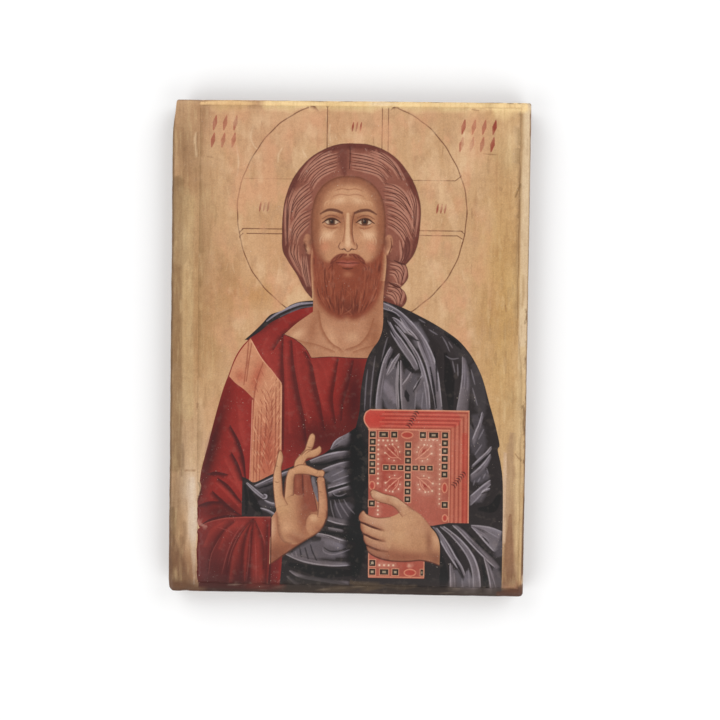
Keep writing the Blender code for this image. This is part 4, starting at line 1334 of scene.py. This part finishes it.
finger("little", [(-41.6, -94), (-42.5, -87), (-43.1, -80), (-42.9, -74), (-41.6, -68), (-40.4, -62),
    (-39.4, -60)], [(-34.6, -92), (-37.2, -87), (-37.8, -82), (-38.3, -76), (-38.5, -70), (-37.5, -65),
    (-38.3, -61), (-39.4, -60)], tone=(202, 152, 114), far=(156, 100, 74))
glow((-38.6, -93), (4.6, 4.2), 0, (196, 148, 108), 0.9, "palm")
glow((-38.2, -90.4), (3, 2.6), 0, (196, 148, 110), 0.8)
finger("thumb", [(-16.8, -99), (-16.2, -93), (-16.4, -87), (-16.9, -81), (-17.4, -76.8), (-16, -75.2)],
    [(-11.4, -100), (-11, -94.6), (-11.4, -88), (-12.6, -80.4), (-13.3, -76), (-16, -75.2)],
    tone=(190, 136, 102), near=(202, 150, 116), far=(142, 84, 62))
glow((-14.8, -101), (3, 3.6), -10, (186, 132, 98), 0.9, "palm")
glow((-14.6, -90), (1.2, 4), 0, (212, 164, 128), 0.7, "thumb")
glow((-18.8, -99.8), (2.6, 2.4), -20, (214, 168, 130), 0.6, "thenar")
line([(-11.2, -96), (-11.4, -100), (-13.2, -104.4), (-17, -108.8), (-23, -112.6), (-30, -117.4),
    (-37, -122.6), (-44, -127.4)], 0.5, FLESH_EDGE, soft=(0.2, 0.8), strength=0.7)
line([(-44.2, -100.6), (-44.2, -127)], 0.6, RED_DEEP, soft=(0.2, 0.3), strength=0.9, smooth=False)
for points in (
    [(-42.6, -78.4), (-41, -79.2), (-39.4, -78.6)], [(-42, -69.2), (-40.4, -69.8)],
    [(-23.6, -57.6), (-21.6, -58.4), (-20.4, -58.2)], [(-17.6, -73.6), (-16.8, -71.8)],
    [(-16.6, -84), (-14, -84.6)], [(-24.8, -62.4), (-22.6, -60.6), (-20.4, -60)],
):
    line(points, [0.1, 0.35, 0.1], FLESH_EDGE, soft=0.3, strength=0.5)

# the hand that holds the book
area("holding", outline([(22, -98.9), (26, -98.4), (29.4, -97), (31.6, -95.6), (34, -92), (39.4, -94),
    (43, -96.2), (45.8, -98.8), (48, -101.6), (50, -104), (52.8, -107), (54.8, -110.8)],
    [(55.7, -116), (55.6, -126.8)], [(50, -124.8), (44, -123.8), (38, -124.4), (31, -124.6), (24, -124),
    (19, -122.6), (15.5, -121), (13.4, -118)], [(12, -108), (13, -100), (22, -98.9)]), (190, 140, 104))
glow((33, -101), (9, 5), 0, (200, 152, 114), 0.8, "holding")
glow((31, -109), (9, 6), 0, (202, 156, 116), 0.7, "holding")
glow((40, -108), (6, 8), 0, (188, 138, 104), 0.6, "holding")
glow((36, -122), (24, 4.4), 0, (146, 88, 66), 0.95, "holding")
glow((26, -119), (9, 4), -12, (160, 100, 76), 0.7, "holding")
glow((49, -113), (2.6, 12), 4, (144, 92, 68), 0.8, "holding")
glow((53, -111), (2.4, 5), 20, (200, 152, 118), 0.85, "holding")
glow((53, -123), (4, 6), 0, (134, 82, 62), 0.85, "holding")
glow((46, -103), (3, 5), 34, (176, 124, 94), 0.6, "holding")
UNDER, OVER = (146, 88, 64), (214, 168, 132)
finger("first", [(26, -98.6), (20, -99.2), (15.6, -98.6), (12, -97), (10.8, -95.5), (9.9, -95)],
    [(25, -106.6), (20, -105.7), (15, -103.8), (11, -102.2), (8.4, -101.2), (7.5, -99), (8.5, -96.4),
    (9.9, -95)], tone=(190, 142, 112), near=OVER, far=UNDER)
finger("second", [(25, -107), (20, -106.4), (15, -104.8), (11, -103.1), (8.6, -102.4)],
    [(25, -112.8), (20, -112), (16, -110.7), (12.5, -109.2), (10, -107.9), (8.7, -105.4), (8.6, -102.4)],
    tone=(188, 140, 108), near=OVER, far=UNDER)
finger("third", [(25, -113.3), (20, -112.8), (16, -111.6), (12.5, -110), (10.4, -109.2)],
    [(25, -118.8), (20, -118), (17, -117.1), (14, -115.9), (11.9, -114.6), (10.6, -112), (10.4, -109.2)],
    tone=(178, 128, 100), near=(202, 154, 120), far=(132, 76, 58))
finger("fourth", [(25, -119.2), (20, -118.8), (17, -117.9), (14, -116.8), (12.2, -115.8)],
    [(26, -124.1), (22, -123.3), (18, -122.1), (15, -120.7), (13, -118.4), (12.2, -115.8)],
    tone=(156, 104, 80), near=(172, 116, 90), far=(116, 64, 50))
for name in ("first", "second", "third"):
    glow((8.8, {"first": -99, "second": -105, "third": -111.6}[name]), (2.2, 3.4), 10, (148, 88, 66), 0.7,
        name)
for middle, size, colour in (
    ((25.8, -102.6), (5.6, 4.2), (198, 151, 115)), ((25.4, -109.4), (5.6, 3), (196, 150, 113)),
    ((25.4, -115.8), (5.6, 2.8), (184, 134, 102)), ((28, -121), (5, 2.6), (152, 96, 72)),
):
    glow(middle, size, 0, colour, 1, "holding")
line([(25.4, -99.8), (25.2, -106), (25.2, -112), (25.6, -116.6)], [1, 3.2, 2.8, 0.4], (193, 146, 111),
    soft=3, strength=0.85, within="holding")
for points, strength in (
    ([(8.8, -101.8), (11, -102.7), (15, -104.4), (20.6, -106.1)], 0.95),
    ([(9.8, -108.4), (12.5, -109.6), (16, -111.2), (21, -112.5)], 0.9),
    ([(12.4, -115.3), (15, -116.6), (18, -117.7), (20.8, -118.5)], 0.7),
):
    line(points, [0.5, 1, 0.8, 0.15], (84, 44, 34), soft=0.35, strength=strength)
finger("pointer", [(39.6, -94.2), (35, -90.8), (31, -87.8), (27.6, -86.2), (22, -84.9), (17.4, -83),
    (15.2, -82.5), (14, -84.2)], [(33, -98), (31.2, -95.8), (28.4, -92.7), (24.6, -90.9), (20, -89.9),
    (16.8, -88.6), (14.8, -86.6), (14, -84.2)], tone=(192, 144, 112), near=(214, 170, 136),
    far=(148, 90, 66))
glow((19, -85.6), (3.4, 1.6), -14, (216, 178, 146), 0.8, "pointer")
glow((28.6, -88.4), (3, 1.6), -34, (218, 178, 142), 0.85, "pointer")
glow((24.6, -87.6), (1.2, 1.6), 0, (168, 112, 84), 0.7, "pointer")
glow((35.4, -96.4), (5, 3.6), -34, (194, 146, 110), 1, "holding")
glow((37.4, -94.6), (3.4, 2.4), -38, (184, 134, 100), 0.8)
line([(36, -92.2), (39.6, -94.2), (43, -96.3), (45.8, -98.9), (48, -101.6), (50, -104)], 0.35, (150, 92, 70),
    soft=(0.3, 0.8), strength=0.5)
line([(13.4, -119.4), (15.5, -121.1), (19, -122.7), (24, -124.1), (31, -124.7), (38, -124.5), (44, -123.9),
    (50, -124.9), (55.6, -126.9)], 0.6, (84, 44, 36), soft=(0.5, 0.2), strength=0.8)
line([(50, -103.6), (52.8, -107), (54.9, -110.8), (55.8, -116), (55.8, -126.6)], 0.8, NIGHT_DEEP, soft=0.3,
    strength=0.8)

# The head is drawn here, and its layers are moved below the locks at its end.
HEAD_START = len(LAYERS)
MIDDLE = -1


def m(x, y, side=1):
    """A place on the face, counted from its middle line towards one side."""
    return MIDDLE + side * x, y


# ears
for side in (-1, 1):
    x = MIDDLE + side * 23.2
    area("ear", oval((x, 61), (2.8, 6), turn=-8 * side, count=24), (184, 128, 98), soft=0.5)
    glow((x - side * 1.2, 61.5), (1.4, 4.8), 0, FLESH_DEEP, 0.8, "ear")
    glow((x + side * 0.6, 57), (1.3, 1.8), 0, FLESH_LIGHT, 0.7, "ear")
    line([(x + side * 1.8, 65), (x + side * 2.1, 60), (x + side * 0.4, 55.6)], [0.3, 0.5, 0.3], FLESH_DEEP,
        soft=0.3, within="ear")

right_side = [(7, 100.2), (14, 96.4), (19, 89.8), (21.4, 81), (21.9, 71), (21.1, 60), (18.6, 50), (14, 41),
    (7, 35.4)]
face = outline([m(0, 101)] + [(MIDDLE + x, y) for x, y in right_side] + [m(0, 34)] + [(MIDDLE - x, y) for x,
    y in right_side[::-1]] + [m(0, 101)])
area("face", face, (194, 140, 104), soft=0.35)
loop = np.vstack([face, face[:1]])
line(loop, 4.5, (142, 86, 62), soft=6, strength=0.85, within="face", smooth=False)
line(loop, 0.6, FLESH_DEEP, soft=1.6, strength=0.7, within="face", smooth=False)
# forehead, cheeks and the bridge of the nose catch the light
glow(m(0, 90), (10, 6), 0, (216, 168, 130), 0.7, "face")
glow(m(-5, 86.4), (4.4, 2.6), 12, (230, 188, 150), 0.6, "face")
glow(m(5, 86.4), (4.4, 2.6), -12, (230, 188, 150), 0.6, "face")
for side in (-1, 1):
    glow(m(12.2, 66.4, side), (5, 3.4), 16 * side, FLESH_LIGHT, 0.85, "face")
    glow(m(13.6, 59.6, side), (3.4, 4.4), 20 * side, (206, 134, 102), 0.6, "face")
    glow(m(8.2, 76.6, side), (6.6, 3.3), 0, FLESH_SHADE, 0.75, "face")
    glow(m(3.9, 74.8, side), (1.5, 4.6), 6 * side, FLESH_SHADE, 0.75, "face")
    glow(m(18.6, 72, side), (2.4, 9), 0, FLESH_SHADE, 0.6, "face")
    glow(m(10, 79.4, side), (5.4, 1.1), -8 * side, (214, 168, 130), 0.5, "face")
    glow(m(9.2, 71, side), (4.4, 0.9), 6 * side, FLESH_SHADE, 0.6, "face")
# faint forehead lines
for y, wide in ((93.4, 8), (90.2, 9)):
    line([(MIDDLE - wide, y - 1.2), (MIDDLE - wide / 2, y), (MIDDLE, y - 0.5), (MIDDLE + wide / 2, y),
        (MIDDLE + wide, y - 1.2)], [0.1, 0.45, 0.3, 0.45, 0.1], FLESH_SHADE, soft=(0.7, 0.4), strength=0.5,
        within="face")
# nose: a long straight ridge, one side shaded
line([m(-0.3, 79), m(-0.3, 70), m(-0.2, 62.4)], [1, 1.6, 2.2], (230, 188, 150), soft=0.9, strength=0.75,
    within="face")
line([m(3.6, 79.4), m(2.4, 75), m(2.2, 68), m(3.3, 62.6), m(4.6, 60.4)], [0.6, 0.9, 0.7, 0.5], FLESH_SHADE,
    soft=(0.3, 1.6), strength=0.8, within="face")
line([m(3.6, 79.4), m(2.6, 75), m(2.4, 68), m(3.4, 62.6)], [0.2, 0.4, 0.3, 0.2], FLESH_DEEP, soft=0.3,
    strength=0.7, within="face")
line([m(-3.6, 79.4), m(-2.5, 75), m(-2.2, 68), m(-3.3, 62.6)], [0.3, 0.5, 0.3, 0.2], FLESH_SHADE,
    soft=(0.6, 0.3), strength=0.6, within="face")
glow(m(0, 60.6), (2.5, 2), 0, (228, 184, 146), 0.85, "face")
for side in (-1, 1):
    glow(m(3.9, 59.8, side), (1.3, 1.3), 0, (212, 162, 124), 0.7, "face")
    line([m(4.6, 62, side), m(5.5, 59.8, side), m(4.6, 58.2, side), m(3.4, 58.4, side)],
        [0.2, 0.5, 0.5, 0.2], FLESH_DEEP, soft=0.3, strength=0.75, within="face")
    line([m(3.4, 58.1, side), m(2.2, 58.5, side), m(1.3, 57.7, side)], [0.3, 0.9, 0.3], (62, 32, 26),
        soft=0.3, strength=0.85, within="face")
line([m(-1.6, 57.6), m(0, 56.9), m(1.6, 57.6)], [0.2, 0.5, 0.2], FLESH_DEEP, soft=0.3, strength=0.7,
    within="face")

# fine pale strokes model the lit forms
for side in (-1, 1):
    for k in range(5):
        line([(MIDDLE + side * (6.4 + 1.8 * k), 70.0 - 0.5 * k), (MIDDLE + side * (9.0 + 1.8 * k),
            67.6 - 0.9 * k), (MIDDLE + side * (10.2 + 1.5 * k), 64.4 - 0.9 * k)], [0.1, 0.4, 0.1],
            (232, 192, 156), soft=0.5, strength=0.4, within="face")
        line([(MIDDLE + side * (2.2 + 2.2 * k), 88.4 - 0.4 * k), (MIDDLE + side * (4.6 + 2.2 * k),
            87.2 - 0.5 * k), (MIDDLE + side * (6.4 + 1.9 * k), 84.8 - 0.4 * k)], [0.1, 0.4, 0.1],
            (230, 188, 150), soft=0.5, strength=0.35, within="face")
# brows and eyes
BROW = (96, 54, 40)
for side in (-1, 1):
    line([m(3.6, 79.4, side), m(7.4, 80.8, side), m(12, 81, side), m(16.6, 78.6, side)], [0.8, 1.3, 1, 0.2],
        BROW, soft=0.6, strength=0.85, within="face")
    white = outline([m(5.2, 74, side), m(7.2, 75.5, side), m(9.8, 76, side), m(12.2, 75.4, side),
        m(14.2, 74, side)], [m(12, 72.9, side), m(9.4, 72.5, side), m(6.8, 72.9, side), m(5.2, 74, side)],
        step=0.6)
    area("eye", white, (206, 178, 150), soft=0.25)
    glow(m(5.6, 74.4, side), (1.2, 1.2), 0, (176, 124, 100), 0.7, "eye")
    glow(m(13.8, 74.6, side), (1.2, 1.2), 0, (176, 124, 100), 0.6, "eye")
    area("iris", oval(m(9.6, 74.3, side), (2.1, 2.1), count=24), (92, 56, 38), soft=0.3, within="eye")
    area("pupil", oval(m(9.6, 74.4, side), (1, 1), count=16), (38, 24, 20), soft=0.3, within="eye")
    glow((m(9.6, 74.9, side)[0] - 0.6, 74.9), (0.4, 0.4), 0, (222, 204, 184), 0.8)
    line([m(4.6, 73.8, side), m(7, 75.4, side), m(9.8, 76, side), m(12.4, 75.4, side), m(15.2, 73.4, side)],
        [0.3, 0.95, 0.95, 0.3], (70, 38, 28), soft=0.35, strength=0.9, within="face")
    line([m(5.2, 73.9, side), m(7.2, 72.8, side), m(9.6, 72.3, side), m(12.2, 72.8, side),
        m(14.2, 74.2, side)], [0.2, 0.45, 0.45, 0.2], FLESH_DEEP, soft=(0.25, 0.35), strength=0.85,
        within="face")
    line([m(5.2, 76.4, side), m(8.6, 77.9, side), m(12, 77.7, side), m(15.2, 75.8, side)],
        [0.2, 0.5, 0.5, 0.2], FLESH_DEEP, soft=(0.4, 0.3), strength=0.6, within="face")
    line([m(6, 71.4, side), m(9, 70.2, side), m(12.6, 71, side), m(14.6, 72.4, side)], [0.1, 0.4, 0.3, 0.1],
        FLESH_SHADE, soft=0.5, strength=0.7, within="face")

# beard, with a short moustache and two soft points
beard_edge = outline([(-21.6, 61), (-19.4, 55.4), (-15.8, 51.4), (-11.4, 50.6), (-8.6, 52.8), (-4.6, 54.6),
    m(0, 54.2)], [(2.6, 54.6), (6.6, 52.8), (9.4, 50.6), (13.8, 51.4), (17.4, 55.4), (19.6, 61)],
    [(20.8, 52), (20.2, 43), (18.6, 34), (15.4, 26.4), (10.6, 21), (6, 18.2), (2, 17.4), m(0, 18.6),
    (-4, 17.4), (-8, 18.2), (-12.6, 21), (-17.4, 26.4), (-20.4, 34), (-22, 43), (-22.6, 52), (-21.6, 61)])
area("beard", beard_edge, (138, 70, 50), soft=2)
glow(m(0, 43.6), (3.6, 2.4), 0, (170, 108, 80), 0.85, "beard")
glow(m(-14, 44), (5, 10), 14, (146, 80, 58), 0.7, "beard")
glow(m(14, 44), (5, 10), -14, (140, 74, 54), 0.7, "beard")
glow(m(0, 24), (10, 6), 0, (106, 52, 40), 0.7, "beard")


def beard_place(aside, down):
    """A place in the beard: aside runs from side to side, down from the cheeks to the two points."""
    side = 1 - abs(aside)
    x = np.interp(down, (0, 0.4, 0.75, 1), (20.4, 19.4, 15.6, 9)) * aside
    y = np.interp(down, (0, 0.4, 0.75, 1), (56 - 6.5 * side, 44 - 4 * side, 31 - 3 * side,
        19.2 + 4 * abs(aside)))
    return MIDDLE + x + np.sign(aside) * 2.6 * down**2, y


HAIRS = np.random.default_rng(4)
for k in range(170):
    aside, down, reach = HAIRS.uniform(-1, 1), HAIRS.uniform(0, 0.9), HAIRS.uniform(0.12, 0.26)
    if abs(aside) > 0.4 or down > 0.45:
        run = [beard_place(aside + bend, down + reach * share) for bend, share in ((0, 0), (0.012, 0.5),
            (-0.01, 1))]
        line(run, [0.1, HAIRS.uniform(0.35, 0.6), 0.1], (166, 98, 72) if k % 2 == 0 else (92, 44, 34),
            soft=0.4, strength=HAIRS.uniform(0.35, 0.6), within="beard")
for side in (-1, 1):
    line([m(0.8, 55.2, side), m(4.6, 54.4, side), m(8.6, 51.4, side), m(11, 46.4, side)],
        [0.8, 2.2, 1.8, 0.4], (118, 56, 42), soft=0.7, strength=0.85)
    for k in range(7):
        start = (MIDDLE + side * (1.0 + 1.3 * k), 55.6 - 0.16 * k * k)
        line([start, (start[0] + side * 1.6, start[1] - 1), (start[0] + side * 2.8, start[1] - 2.8)],
            [0.1, 0.4, 0.1], (166, 96, 72) if k % 2 == 0 else (86, 40, 32), soft=0.3, strength=0.55)
# mouth
lips = outline([m(-6.9, 50.4), m(-3, 51.7), m(0, 51.3), m(3, 51.7), m(6.9, 50.4)],
    [m(3, 48.3), m(0, 47.9), m(-3, 48.3), m(-6.9, 50.4)], step=0.7)
area("lips", lips, (158, 84, 68), soft=0.45)
glow(m(0, 49.1), (3, 0.8), 0, (186, 114, 92), 0.7, "lips")
line([m(-6.9, 50.3), m(-3, 50.3), m(0, 50), m(3, 50.3), m(6.9, 50.3)], [0.2, 0.6, 0.5, 0.6, 0.2],
    (84, 32, 28), soft=0.3, strength=0.9)
line([m(-3, 47.3), m(0, 46.8), m(3, 47.3)], [0.2, 0.8, 0.2], (84, 38, 30), soft=0.5, strength=0.8)

# the head's layers go below the locks of hair
head = LAYERS[HEAD_START:]
del LAYERS[HEAD_START:]
LAYERS[BELOW_LOCKS:BELOW_LOCKS] = head

# darker bands along the bottom edge and at its corners, and dull varnish, dirt and rubbed places over print
# and board alike
for points, width, colour, soft, strength in (
    ([(-88, -145), (0, -145), (92, -145)], 5, (62, 47, 41), 8, 0.5),
    ([(-107, -144.6), (0, -144.6), (107, -144.6)], 2.4, (60, 44, 36), 1.6, 0.65),
    ([(-38, -141.6), (-10, -142), (40, -141.6), (92, -142)], 2.4, (70, 59, 50), 1.8, 0.45),
    ([(3, -137.6), (12, -139.8), (23, -139.4)], [1, 4.4, 1], (104, 84, 62), 1.6, 0.55),
    ([(-14, -142.6), (-4, -141.4), (6, -141)], [1, 3, 1], (92, 74, 56), 1.4, 0.5),
    ([(24, -138.6), (32, -140), (42, -139)], [1, 2.4, 1], (92, 74, 56), 1.2, 0.45),
    ([(90, -143), (99, -142.4), (107, -141)], [2, 5, 7], (92, 58, 44), 2, 0.8),
    ([(-107, -140), (-98, -142), (-84, -144.6)], [8, 5, 3], (108, 74, 52), 3, 0.75),
    ([(-90.6, -96), (-87.4, -103.4), (-82, -106.2)], [0.4, 1.8, 0.3], (196, 160, 142), 1.3, 0.5),
    ([(-89.8, -108), (-89.2, -116), (-89.2, -128)], [0.6, 1.3, 0.4], (206, 178, 158), 1, 0.55),
    ([(-84, -64), (-82.4, -57), (-80.6, -50)], [0.3, 1, 0.3], (158, 116, 104), 1.2, 0.35),
    ([(-87, -80), (-86, -85), (-87.6, -91)], [0.3, 1, 0.3], (70, 44, 36), 0.8, 0.5),
):
    line(points, width, colour, soft=soft, strength=strength)
for k in range(52):
    x, y = HAIRS.uniform(-70, 90), HAIRS.uniform(-143.4, -139.4)
    line([(x, y), (x + HAIRS.uniform(0.5, 2.6), y + HAIRS.uniform(-0.3, 0.3))], [0.2, 0.5, 0.2],
        (160, 144, 126), soft=0.3, strength=HAIRS.uniform(0.2, 0.6))

FIGURE = {"shoulder", "tunic", "band", "neck", "hair", "cloak", "cuff", "lining", "pages", "cover", "palm",
    "wrist", "holding", "face", "beard"}


# the sheet's outline, torn along its right side and ragged along its left
SHEET_LOW, SHEET_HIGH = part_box("picture_sheet")
SHEET_LEFT, SHEET_BOTTOM = SHEET_LOW[0] / MM, SHEET_LOW[1] / MM
SHEET_RIGHT, SHEET_TOP = SHEET_HIGH[0] / MM, SHEET_HIGH[1] / MM
SHEET_FACE = SHEET_HIGH[2] / MM
TORN_IN = 3.0


def ragged(along, seed, most):
    """How far a torn edge draws in at a place along it, never outwards."""
    value = 0.5 + 0.5 * noise.noise(Vector((along / 9, seed, 0))) + 0.35 * noise.noise(Vector((along / 2.2,
        seed, 5)))
    return most * min(max(value, 0), 1)


def sheet_outline():
    step = 1.3
    points = []
    for x in np.arange(SHEET_LEFT, SHEET_RIGHT - TORN_IN, step):
        points.append((x, SHEET_BOTTOM + ragged(x, 1, 0.9)))
    for y in np.arange(SHEET_BOTTOM, SHEET_TOP, step):
        inward = TORN_IN * step_between(-20, 20, y)
        points.append((SHEET_RIGHT - inward - ragged(y, 2, 0.7 + 0.6 * step_between(-20, 10, y)), y))
    for x in np.arange(SHEET_RIGHT - TORN_IN, SHEET_LEFT, -step):
        points.append((x, SHEET_TOP - ragged(x, 3, 0.5)))
    for y in np.arange(SHEET_TOP, SHEET_BOTTOM, -step):
        worn = 1 - step_between(-95, -60, y)
        points.append((SHEET_LEFT + ragged(y, 4, 0.3 + 1.1 * worn), y))
    return np.array(points, float)


# how the mesh's points follow the drawing
CELL = 0.2
EDGE_STEP = 0.34
SOFT_MOST = 0.6
SOFT_SEEN = 1.2
WIDE_LINE = 0.9
SMALL_GLOW = 1
ROW_SHARE = 0.866


def offset_rows(run, offsets, closed):
    """Rows of points beside a run, each at its own signed distance to the left of it."""
    ahead = np.roll(run, -1, axis=0) if closed else np.vstack([run[1:], 2 * run[-1:] - run[-2:-1]])
    behind = np.roll(run, 1, axis=0) if closed else np.vstack([2 * run[:1] - run[1:2], run[:-1]])
    turned = ahead - behind
    turned /= np.maximum(np.linalg.norm(turned, axis=1)[:, None], 1e-9)
    left = np.stack([-turned[:, 1], turned[:, 0]], 1)
    return [run + left * np.reshape(offset, (-1, 1)) for offset in offsets]


def rows_of(layer):
    """The rows of points that the mesh follows so that a layer's edges come out crisp."""
    if layer["kind"] == "area":
        soft = max(min(layer["soft"], SOFT_MOST), EDGE_STEP / 2)
        return offset_rows(layer["edge"], (-soft, soft), True), True
    if layer["kind"] == "glow":
        if max(layer["size"]) > SMALL_GLOW:
            return [], False
        return [oval(layer["middle"], layer["size"], count=6), layer["middle"][None]], False
    run, widths = layer["run"], layer["widths"]
    share = np.linspace(0, 1, len(run))
    half = np.interp(share, np.linspace(0, 1, len(widths)), widths) / 2
    offsets = [half * 0]
    for side, soft in zip((1, -1), layer["soft"]):
        if widths.max() > WIDE_LINE:
            offsets.append(side * np.maximum(half - 0.06, 0))
        if soft <= SOFT_SEEN:
            offsets.append(side * (half + min(max(soft, EDGE_STEP - 0.06), SOFT_MOST)))
    rows = offset_rows(run, offsets, False)
    for end, before, wide in ((0, 1, half[0]), (-1, -2, half[-1])):
        ahead = run[end] - run[before]
        ahead /= max(np.linalg.norm(ahead), 1e-9)
        tip = run[end] + ahead * (wide + EDGE_STEP)
        side = np.array([-ahead[1], ahead[0]]) * (wide + EDGE_STEP * 0.5)
        rows.append(np.array([tip - side * 0.7, tip + side * 0.7]))
    return rows, False


def gather_rows(edge):
    """Points and edges for the mesh: the outline first, then the layers from the top one down."""
    points = [edge]
    links = [np.stack([np.arange(len(edge)), np.roll(np.arange(len(edge)), -1)], 1)]
    total = len(edge)
    room = edge.min(0) + 1, edge.max(0) - 1.0
    above = []
    for layer in reversed(LAYERS):
        rows, closed = rows_of(layer)
        for row in rows:
            keep = ((row > room[0]) & (row < room[1])).all(1)
            if layer["within"] is not None:
                keep &= inside(AREAS[layer["within"]], row)
            for cover in above:
                if keep.any():
                    keep &= ~inside(cover, row)
            count = len(row)
            index = np.arange(count) + total
            pairs = np.stack([index, np.roll(index, -1)], 1)[: count if closed else count - 1]
            if layer["kind"] == "glow":
                pairs = pairs[:0]
            alive = keep[pairs[:, 0] - total] & keep[pairs[:, 1] - total]
            links.append(pairs[alive])
            points.append(np.where(keep[:, None], row, np.nan))
            total += count
        if layer["kind"] == "area" and layer["name"] in COVERING:
            above.append(layer["edge"])
    return np.vstack(points), np.vstack(links)


def merge_close(points, links):
    """Points in the same small cell become one, and the links follow them."""
    used = ~np.isnan(points[:, 0])
    keys = np.round(np.where(used[:, None], points, 1e4) / CELL).astype(int)
    _, first, back = np.unique(keys, axis=0, return_index=True, return_inverse=True)
    back = back.ravel()
    kept = points[first]
    pairs = back[links]
    pairs = np.sort(pairs[pairs[:, 0] != pairs[:, 1]], axis=1)
    pairs = np.unique(pairs, axis=0)
    good = ~np.isnan(kept[:, 0])
    number = np.cumsum(good) - 1
    pairs = pairs[good[pairs].all(1)]
    return kept[good], number[pairs]


def fill_between(points, edge, spacing, sheet_edge):
    """Evenly spread points inside an outline, wherever none lies near."""
    low, high = edge.min(0), edge.max(0)
    across = np.arange(low[0], high[0], spacing)
    rows = []
    for k, y in enumerate(np.arange(low[1], high[1], spacing * ROW_SHARE)):
        rows.append(np.stack([across + (k % 2) * spacing / 2, np.full(len(across), y)], 1))
    lattice = np.vstack(rows)
    lattice = lattice[inside(edge, lattice)]
    lattice = lattice[inside(sheet_edge, lattice)]
    cell = spacing * 0.5
    taken = {tuple(key) for key in np.floor(points / cell).astype(int)}
    keys = np.floor(lattice / cell).astype(int)
    free = [not any((i + a, j + b) in taken for a in (-1, 0, 1) for b in (-1, 0, 1)) for i, j in keys]
    return np.vstack([points, lattice[free]])


# areas that hide what is drawn before them, and how close the filling points lie in each area
COVERING = {"cloak", "cuff", "cover", "pages", "palm", "holding", "face", "band"}
FILLS = (("face", 0.85), ("beard", 0.95), ("palm", 1), ("holding", 1), ("wrist", 1.2), ("neck", 1.4),
    ("hair", 1.5), ("cover", 1.6), ("band", 1.6), ("pages", 1.8), ("cloak", 1.5), ("tunic", 1.7),
    ("cuff", 1.7))
GROUND_FILL = 3.6

edge = sheet_outline()
points, pairs = merge_close(*gather_rows(edge))
for name, spacing in FILLS:
    shape = AREAS[name]
    points = fill_between(points, shape, spacing, edge)
points = fill_between(points, edge, GROUND_FILL, edge)
flat, _, triangles, *_ = geometry.delaunay_2d_cdt([Vector(p) for p in points],
    [tuple(int(n) for n in pair) for pair in pairs], [], 0, 1e-5, False)
sheet_places = np.array([tuple(p) for p in flat], float)
middles = sheet_places[np.array(triangles)].mean(1)
triangles = [corners for corners, keep in zip(triangles, inside(edge, middles)) if keep]


def sheet_height(points):
    """The paper's face: a little wavy, thin at its glued-down left and bottom, thick at its torn right."""
    x, y = points[:, 0], points[:, 1]
    wave = np.array([0.05 * rough(px, py, 26, 30.5) + 0.02 * rough(px, py, 6, 31.5) for px, py in points])
    face = SHEET_FACE - 0.1 + wave
    low = THICKNESS + 0.03
    fade = step_between(0, 9, x - SHEET_LEFT) * step_between(0, 7, y - SHEET_BOTTOM)
    lip = 0.75 + 0.25 * step_between(0, 2, SHEET_TOP - y)
    return low + (face - low) * fade * lip


sheet_tops = sheet_height(sheet_places)
sheet_mesh = bpy.data.meshes.new("picture_looks")
sheet_mesh.from_pydata([(x * MM, y * MM, z * MM) for (x, y), z in zip(sheet_places, sheet_tops)], [],
    triangles)
work = bmesh.new()
work.from_mesh(sheet_mesh)
bmesh.ops.recalc_face_normals(work, faces=work.faces)
if sum(face.normal.z for face in work.faces) < 0:
    bmesh.ops.reverse_faces(work, faces=work.faces)
for face in work.faces:
    face.smooth = True
rim = [edge_part for edge_part in work.edges if edge_part.is_boundary]
grown = bmesh.ops.extrude_edge_only(work, edges=rim)["geom"]
lower = [part for part in grown if isinstance(part, bmesh.types.BMVert)]
for vert in lower:
    vert.co.z = (THICKNESS - 0.15) * MM
for part in grown:
    if isinstance(part, bmesh.types.BMFace):
        part.smooth = False
bmesh.ops.holes_fill(work, edges=[part for part in grown if isinstance(part,
    bmesh.types.BMEdge) and part.is_boundary], sides=0)
bmesh.ops.recalc_face_normals(work, faces=work.faces)
work.to_mesh(sheet_mesh)
work.free()
picture = bpy.data.objects.new("picture_looks", sheet_mesh)
scene.collection.objects.link(picture)
sheet_all = places_of(sheet_mesh)
colours, figure = paint(sheet_all[:, :2], GROUND, FIGURE)
add_paint(sheet_mesh, colours, brushed_share(sheet_all))
sheet_mesh.attributes.new("figure", "FLOAT", "POINT").data.foreach_set("value", figure.astype(np.float32))
printed_paper, _ = make_varnished("printed_paper", 0.00025, 1)
sheet_mesh.materials.append(printed_paper)
# the print's colours were dragged down over the board's bottom edge
low_edge = np.flatnonzero(board_places[:, 1] < -137)
dragged, _ = paint(board_places[low_edge, :2], GROUND, FIGURE)
board_colours[low_edge] = SIDE_BROWN + (dragged - SIDE_BROWN) * on_front[low_edge]
store_light(board_mesh.color_attributes["paint"], board_colours)
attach(picture, "root")
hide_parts("picture_sheet")
